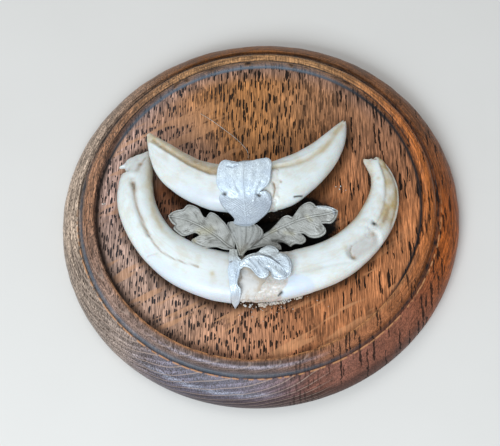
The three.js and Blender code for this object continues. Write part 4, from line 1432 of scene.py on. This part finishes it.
def oak_stains_and_shade(paint, wood, place, worn):
    """Painted shade beside the tusks, between two of them and under the bead, and the oak round the sprig
    painted near-black for black filler and the deep shade there.
    """
    radius = place[3]
    # painted shadow round the tusks
    wood = mixed(paint.mask("beside") * 0.85, wood, (0.040, 0.018, 0.008))
    # painted shade between the left upper and lower tusks
    gap = node(
        paint.tree, "VectorMath", {0: paint.place(), 1: BETWEEN_TUSKS}, "Value", operation="DISTANCE"
    )
    wood = mixed(gap.ramp(18.0, 6.0, 0.0, 0.9), wood, multiplied(wood, (0.55, 0.29, 0.12)))
    # painted shadow of the bead on the floor at the lower left
    under_bead = radius.ramp(COVE_RADIUS - 6.5, COVE_RADIUS) * towards(place, -150, 62)
    under_bead = under_bead * radius.ramp(COVE_RADIUS + 0.2, COVE_RADIUS - 0.2)
    wood = mixed(under_bead * 0.75, wood, (0.045, 0.022, 0.012))
    # the oval round the sprig: black filler and painted deep shade
    beside = node(paint.tree, "VectorMath", {0: paint.place(), 1: PITCH_AND_SHADE_MIDDLE}, operation="SUBTRACT")
    inside = paint.scaled(beside, (1 / PITCH_AND_SHADE_SIZE[0], 1 / PITCH_AND_SHADE_SIZE[1], 0))
    pitch_and_shade = node(paint.tree, "VectorMath", {0: inside}, "Value", operation="LENGTH") + worn * 0.3
    return mixed(pitch_and_shade.ramp(1.16, 1.02), wood, (0.005, 0.004, 0.003))


def oak_material():
    """Stained and waxed oak: open black pores, pale rays, worn arrises and a grey waxy film, with painted
    sheen, highlights and shade laid into its colours.
    """
    paint = Paint("oak", IOR=1.5, Coat_Weight=0.03, Coat_Roughness=0.3, Specular_IOR_Level=0.15)
    place = oak_place(paint)
    on_rim = place[3].ramp(COVE_RADIUS - 0.1, COVE_RADIUS + 0.7)
    cloud = paint.noise((9, 20, 9), 3.0)
    worn = paint.noise((3.2, 3.2, 3.2), 3.0)
    wood = oak_tones(place, on_rim)
    wood, rays = oak_fibres(paint, wood, place, on_rim, cloud)
    wood = oak_turning(paint, wood, place, on_rim)
    dashes, to_right = oak_pores(paint, place, on_rim)
    dashes = dashes * rays.ramp(0.0, 0.8, 1.0, 0.08)
    pore_tint = mixed(to_right.ramp(-30, 20), (0.020, 0.020, 0.025), (0.006, 0.004, 0.003))
    wood = mixed(dashes * 0.97, wood, pore_tint)
    wood = oak_wear(wood, place, worn)
    wood = oak_stains_and_shade(paint, wood, place, worn)
    gloss = cloud.ramp(0.3, 0.7, 0.42, 0.55) + dashes * 0.3 - on_rim * 0.08
    return paint.finish(wood, gloss, dashes * -1.0, 0.35)


# ---------------------------------------------------------------- other materials


def ivory_material():
    """Tusk enamel and dentine, with honey, brown and grey staining where the masks say, and a painted bluish
    tint of light and painted shade in holes where other masks say.
    """
    paint = Paint(
        "ivory", IOR=1.54, Coat_Weight=0.2, Coat_Roughness=0.3, Subsurface_Weight=0.12,
        Subsurface_Scale=0.002, Specular_IOR_Level=0.45,
    )
    flow = node(paint.tree, "Attribute", output="Vector", attribute_name="flow")
    lines = paint.noise_at(paint.scaled(flow, (0.05, 1.1, 1.1)), 1.0, 4.0, 0.6)
    mottle = paint.noise_at(paint.scaled(flow, (0.16, 0.22, 0.22)), 1.0, 4.0, 0.6)
    speck = paint.noise_at(flow, 1.4, 3.0)
    uneven = mottle.ramp(0.3, 0.7, 0.65, 1.0)
    base = mixed(mottle.ramp(0.42, 0.68), (0.77, 0.83, 0.83), (0.72, 0.73, 0.67))
    base = mixed(lines.ramp(0.52, 0.75, 0.0, 0.4), base, (0.68, 0.67, 0.60))
    base = mixed(speck.ramp(0.68, 0.82, 0.0, 0.3), base, (0.55, 0.44, 0.27))
    base = mixed(paint.mask("chalk") * 0.85, base, (0.65, 0.64, 0.60))
    # painted bluish tint of the window's light, and of shade on a lower flank
    base = mixed(paint.mask("cool"), base, (0.68, 0.76, 0.85))
    smeared = mixed(speck.ramp(0.4, 0.65), (0.63, 0.61, 0.58), (0.57, 0.50, 0.43))
    base = mixed(paint.mask("plaster"), base, smeared)
    base = mixed(paint.mask("grey") * uneven, base, (0.50, 0.475, 0.45))
    base = mixed(paint.mask("honey") * uneven, base, (0.52, 0.38, 0.15))
    base = mixed(paint.mask("stain") * speck.ramp(0.25, 0.6, 0.7, 1.0), base, (0.27, 0.155, 0.055))
    # near-black in holes and cracks: painted shade in them
    base = mixed(paint.mask("dark"), base, (0.02, 0.015, 0.01))
    gloss = mottle.ramp(0.3, 0.7, 0.30, 0.44) + paint.mask("grey") * 0.15
    return paint.finish(base, gloss, lines * 0.6 + speck * 0.3, 0.10)


def pewter_material():
    """Cast pewter: dull grey-green in most places, silvery blue where it was handled and where a painted
    reflection of the window is laid on.
    """
    paint = Paint("pewter", Metallic=0.25, IOR=1.5, Specular_IOR_Level=0.5)
    veins = node(
        paint.tree, "TexVoronoi", {"Vector": paint.place((0.9, 0.9, 2.0)), "Scale": 1.0},
        "Distance", feature="DISTANCE_TO_EDGE",
    )
    net = veins.ramp(0.14, 0.0)
    cloud = paint.noise((5, 5, 5), 4.0)
    grit = paint.noise((0.6, 0.6, 0.6))
    polish = paint.mask("polish")
    dull = mixed(cloud.ramp(0.35, 0.7), (0.47, 0.465, 0.43), (0.36, 0.35, 0.305))
    dull = mixed(grit.ramp(0.5, 0.8, 0.0, 0.35), dull, (0.27, 0.26, 0.22))
    # the silvery blue is partly a painted reflection of the window
    bright = mixed(cloud.ramp(0.35, 0.7), (0.79, 0.91, 1.0), (0.69, 0.81, 0.94))
    bright = mixed(net.ramp(0.2, 1.0, 0.0, 0.18), bright, (0.36, 0.42, 0.52))
    base = mixed(polish, dull, bright)
    shade = mixed(polish, (0.16, 0.15, 0.12), (0.34, 0.38, 0.46))
    base = mixed(paint.mask("hollow") * 0.82, base, shade)
    base = mixed(paint.mask("tarnish") * 0.5, base, (0.44, 0.40, 0.24))
    # dirt, and painted shade in the cap's holes and beside the curled leaf's edge
    base = mixed(paint.mask("grime"), base, (0.10, 0.07, 0.045))
    gloss = cloud.ramp(0.3, 0.7, 0.45, 0.58) - polish * 0.2
    return paint.finish(base, gloss, net * 0.6 + grit * 0.4, 0.10)


def plaster_material():
    """Dry plaster, cream to pinkish brown, with dirt in its cracks and pits."""
    paint = Paint("plaster", IOR=1.45, Specular_IOR_Level=0.3)
    cloud = paint.noise((5, 5, 5), 3.0)
    grit = paint.noise((0.7, 0.7, 0.7), 3.0)
    base = mixed(cloud.ramp(0.42, 0.6), (0.64, 0.63, 0.61), (0.56, 0.49, 0.41))
    base = mixed(grit.ramp(0.64, 0.78, 0.0, 0.3), base, (0.45, 0.36, 0.27))
    base = mixed(paint.mask("stain") * 0.7, base, (0.36, 0.26, 0.17))
    # near-black in holes: painted shade in them
    base = mixed(paint.mask("dark"), base, (0.012, 0.010, 0.008))
    return paint.finish(base, cloud.ramp(0.3, 0.7, 0.8, 0.95), cloud + grit * 0.5, 0.25)


def filler_material():
    """Black filler with pale crumbs in it, made near-black to carry the deep painted shade under the sprig
    as well.
    """
    paint = Paint("filler", IOR=1.45, Specular_IOR_Level=0.1)
    cloud = paint.noise((2.5, 2.5, 2.5), 4.0)
    grit = paint.noise((0.9, 0.9, 0.9), 3.0)
    base = mixed(cloud.ramp(0.35, 0.65), (0.006, 0.004, 0.003), (0.018, 0.010, 0.006))
    base = mixed(grit.ramp(0.66, 0.74, 0.0, 0.5), base, (0.40, 0.33, 0.26))
    return paint.finish(base, cloud.ramp(0.3, 0.7, 0.75, 0.95), grit, 0.4)


def floor_material():
    paint = Paint("pale_floor", Specular_IOR_Level=0.2)
    cloud = paint.noise((60, 60, 60), 3.0)
    base = mixed(cloud, (0.72, 0.70, 0.67), (0.76, 0.74, 0.71))
    return paint.finish(base, cloud.ramp(0.3, 0.7, 0.7, 0.8))


# ---------------------------------------------------------------- lumps of plaster and filler


def lump(name, solid, voxel, rough, size, seed, proud=0.0):
    """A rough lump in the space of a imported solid, worn inwards from its faces."""
    vertices, normals, faces = fine_copy(solid, voxel)
    worn = rough * (noise(vertices, size, seed, 3) - 0.3)
    return make_mesh(name, vertices + normals * np.minimum(worn, proud)[:, None], faces)


# ---------------------------------------------------------------- stage


def make_floor():
    bpy.ops.mesh.primitive_plane_add(size=6)
    floor = bpy.context.object
    floor.name = "floor"
    floor.data.materials.append(floor_material())


def make_light(name, place, target, size, power, tint):
    light = bpy.data.lights.new(name, "AREA")
    light.shape = "RECTANGLE"
    light.size, light.size_y = size
    light.energy = power
    light.color = tint
    lamp = bpy.data.objects.new(name, light)
    lamp.location = place
    lamp.rotation_euler = (Vector(target) - Vector(place)).to_track_quat("-Z", "Y").to_euler()
    bpy.context.scene.collection.objects.link(lamp)


def make_world():
    world = bpy.data.worlds.new("studio")
    world.use_nodes = True
    background = world.node_tree.nodes["Background"]
    background.inputs["Color"].default_value = (0.96, 0.98, 1.0, 1)
    background.inputs["Strength"].default_value = 0.37
    bpy.context.scene.world = world


def make_camera():
    right, up, back, place = camera_axes()
    camera = bpy.data.cameras.new("camera")
    camera.lens = CAMERA_LENS
    camera.sensor_width = SENSOR_WIDTH
    holder = bpy.data.objects.new("camera", camera)
    turn = Matrix((right, up, back)).transposed().to_4x4()
    holder.matrix_world = Matrix.Translation(Vector(place) * MM) @ turn
    bpy.context.scene.collection.objects.link(holder)
    bpy.context.scene.camera = holder


# ---------------------------------------------------------------- assembly

make_camera()
make_world()
make_light("window", (-0.26, -0.83, 0.75), (0, 0, 0.01), (0.8, 0.45), 12.3, (0.86, 0.94, 1.0))
make_light("ceiling", (-0.35, 0.55, 1.1), (0, 0, 0.01), (0.9, 0.6), 3.5, (0.95, 0.98, 1.0))
make_floor()
bpy.context.scene.view_settings.view_transform = "Standard"

oak = oak_material()
ivory = ivory_material()
pewter = pewter_material()
plaster = plaster_material()
filler = filler_material()

place_piece(oak_plaque(), oak, "plaque")
place_piece(left_lower_tusk(), ivory, "lower_tusk_left")
place_piece(right_lower_tusk(), ivory, "lower_tusk_right")
place_piece(left_upper_tusk(), ivory, "upper_tusk_left")
place_piece(right_upper_tusk(), ivory, "upper_tusk_right")
place_piece(root_plaster(), plaster, "plaster_lower")
packing = lump("packing_plaster", "plaster_upper", 0.45, 0.7, 4, 72, 0.3)
place_piece(packing, plaster, "plaster_upper")
place_piece(lump("filler_mound", "glue_bed", 0.5, 1.0, 4, 73), filler, "glue_bed")
for name, leaf, shape, replaced, relief in SPRIG:
    place_piece(leaf_piece(name, leaf, shape, **relief), pewter, replaced)
place_piece(crumbs("plaster_crumbs", CHIPS, 83), plaster)
place_piece(crumbs("dust_specks", DUST, 87), plaster)
place_piece(stray_hair(), plaster)
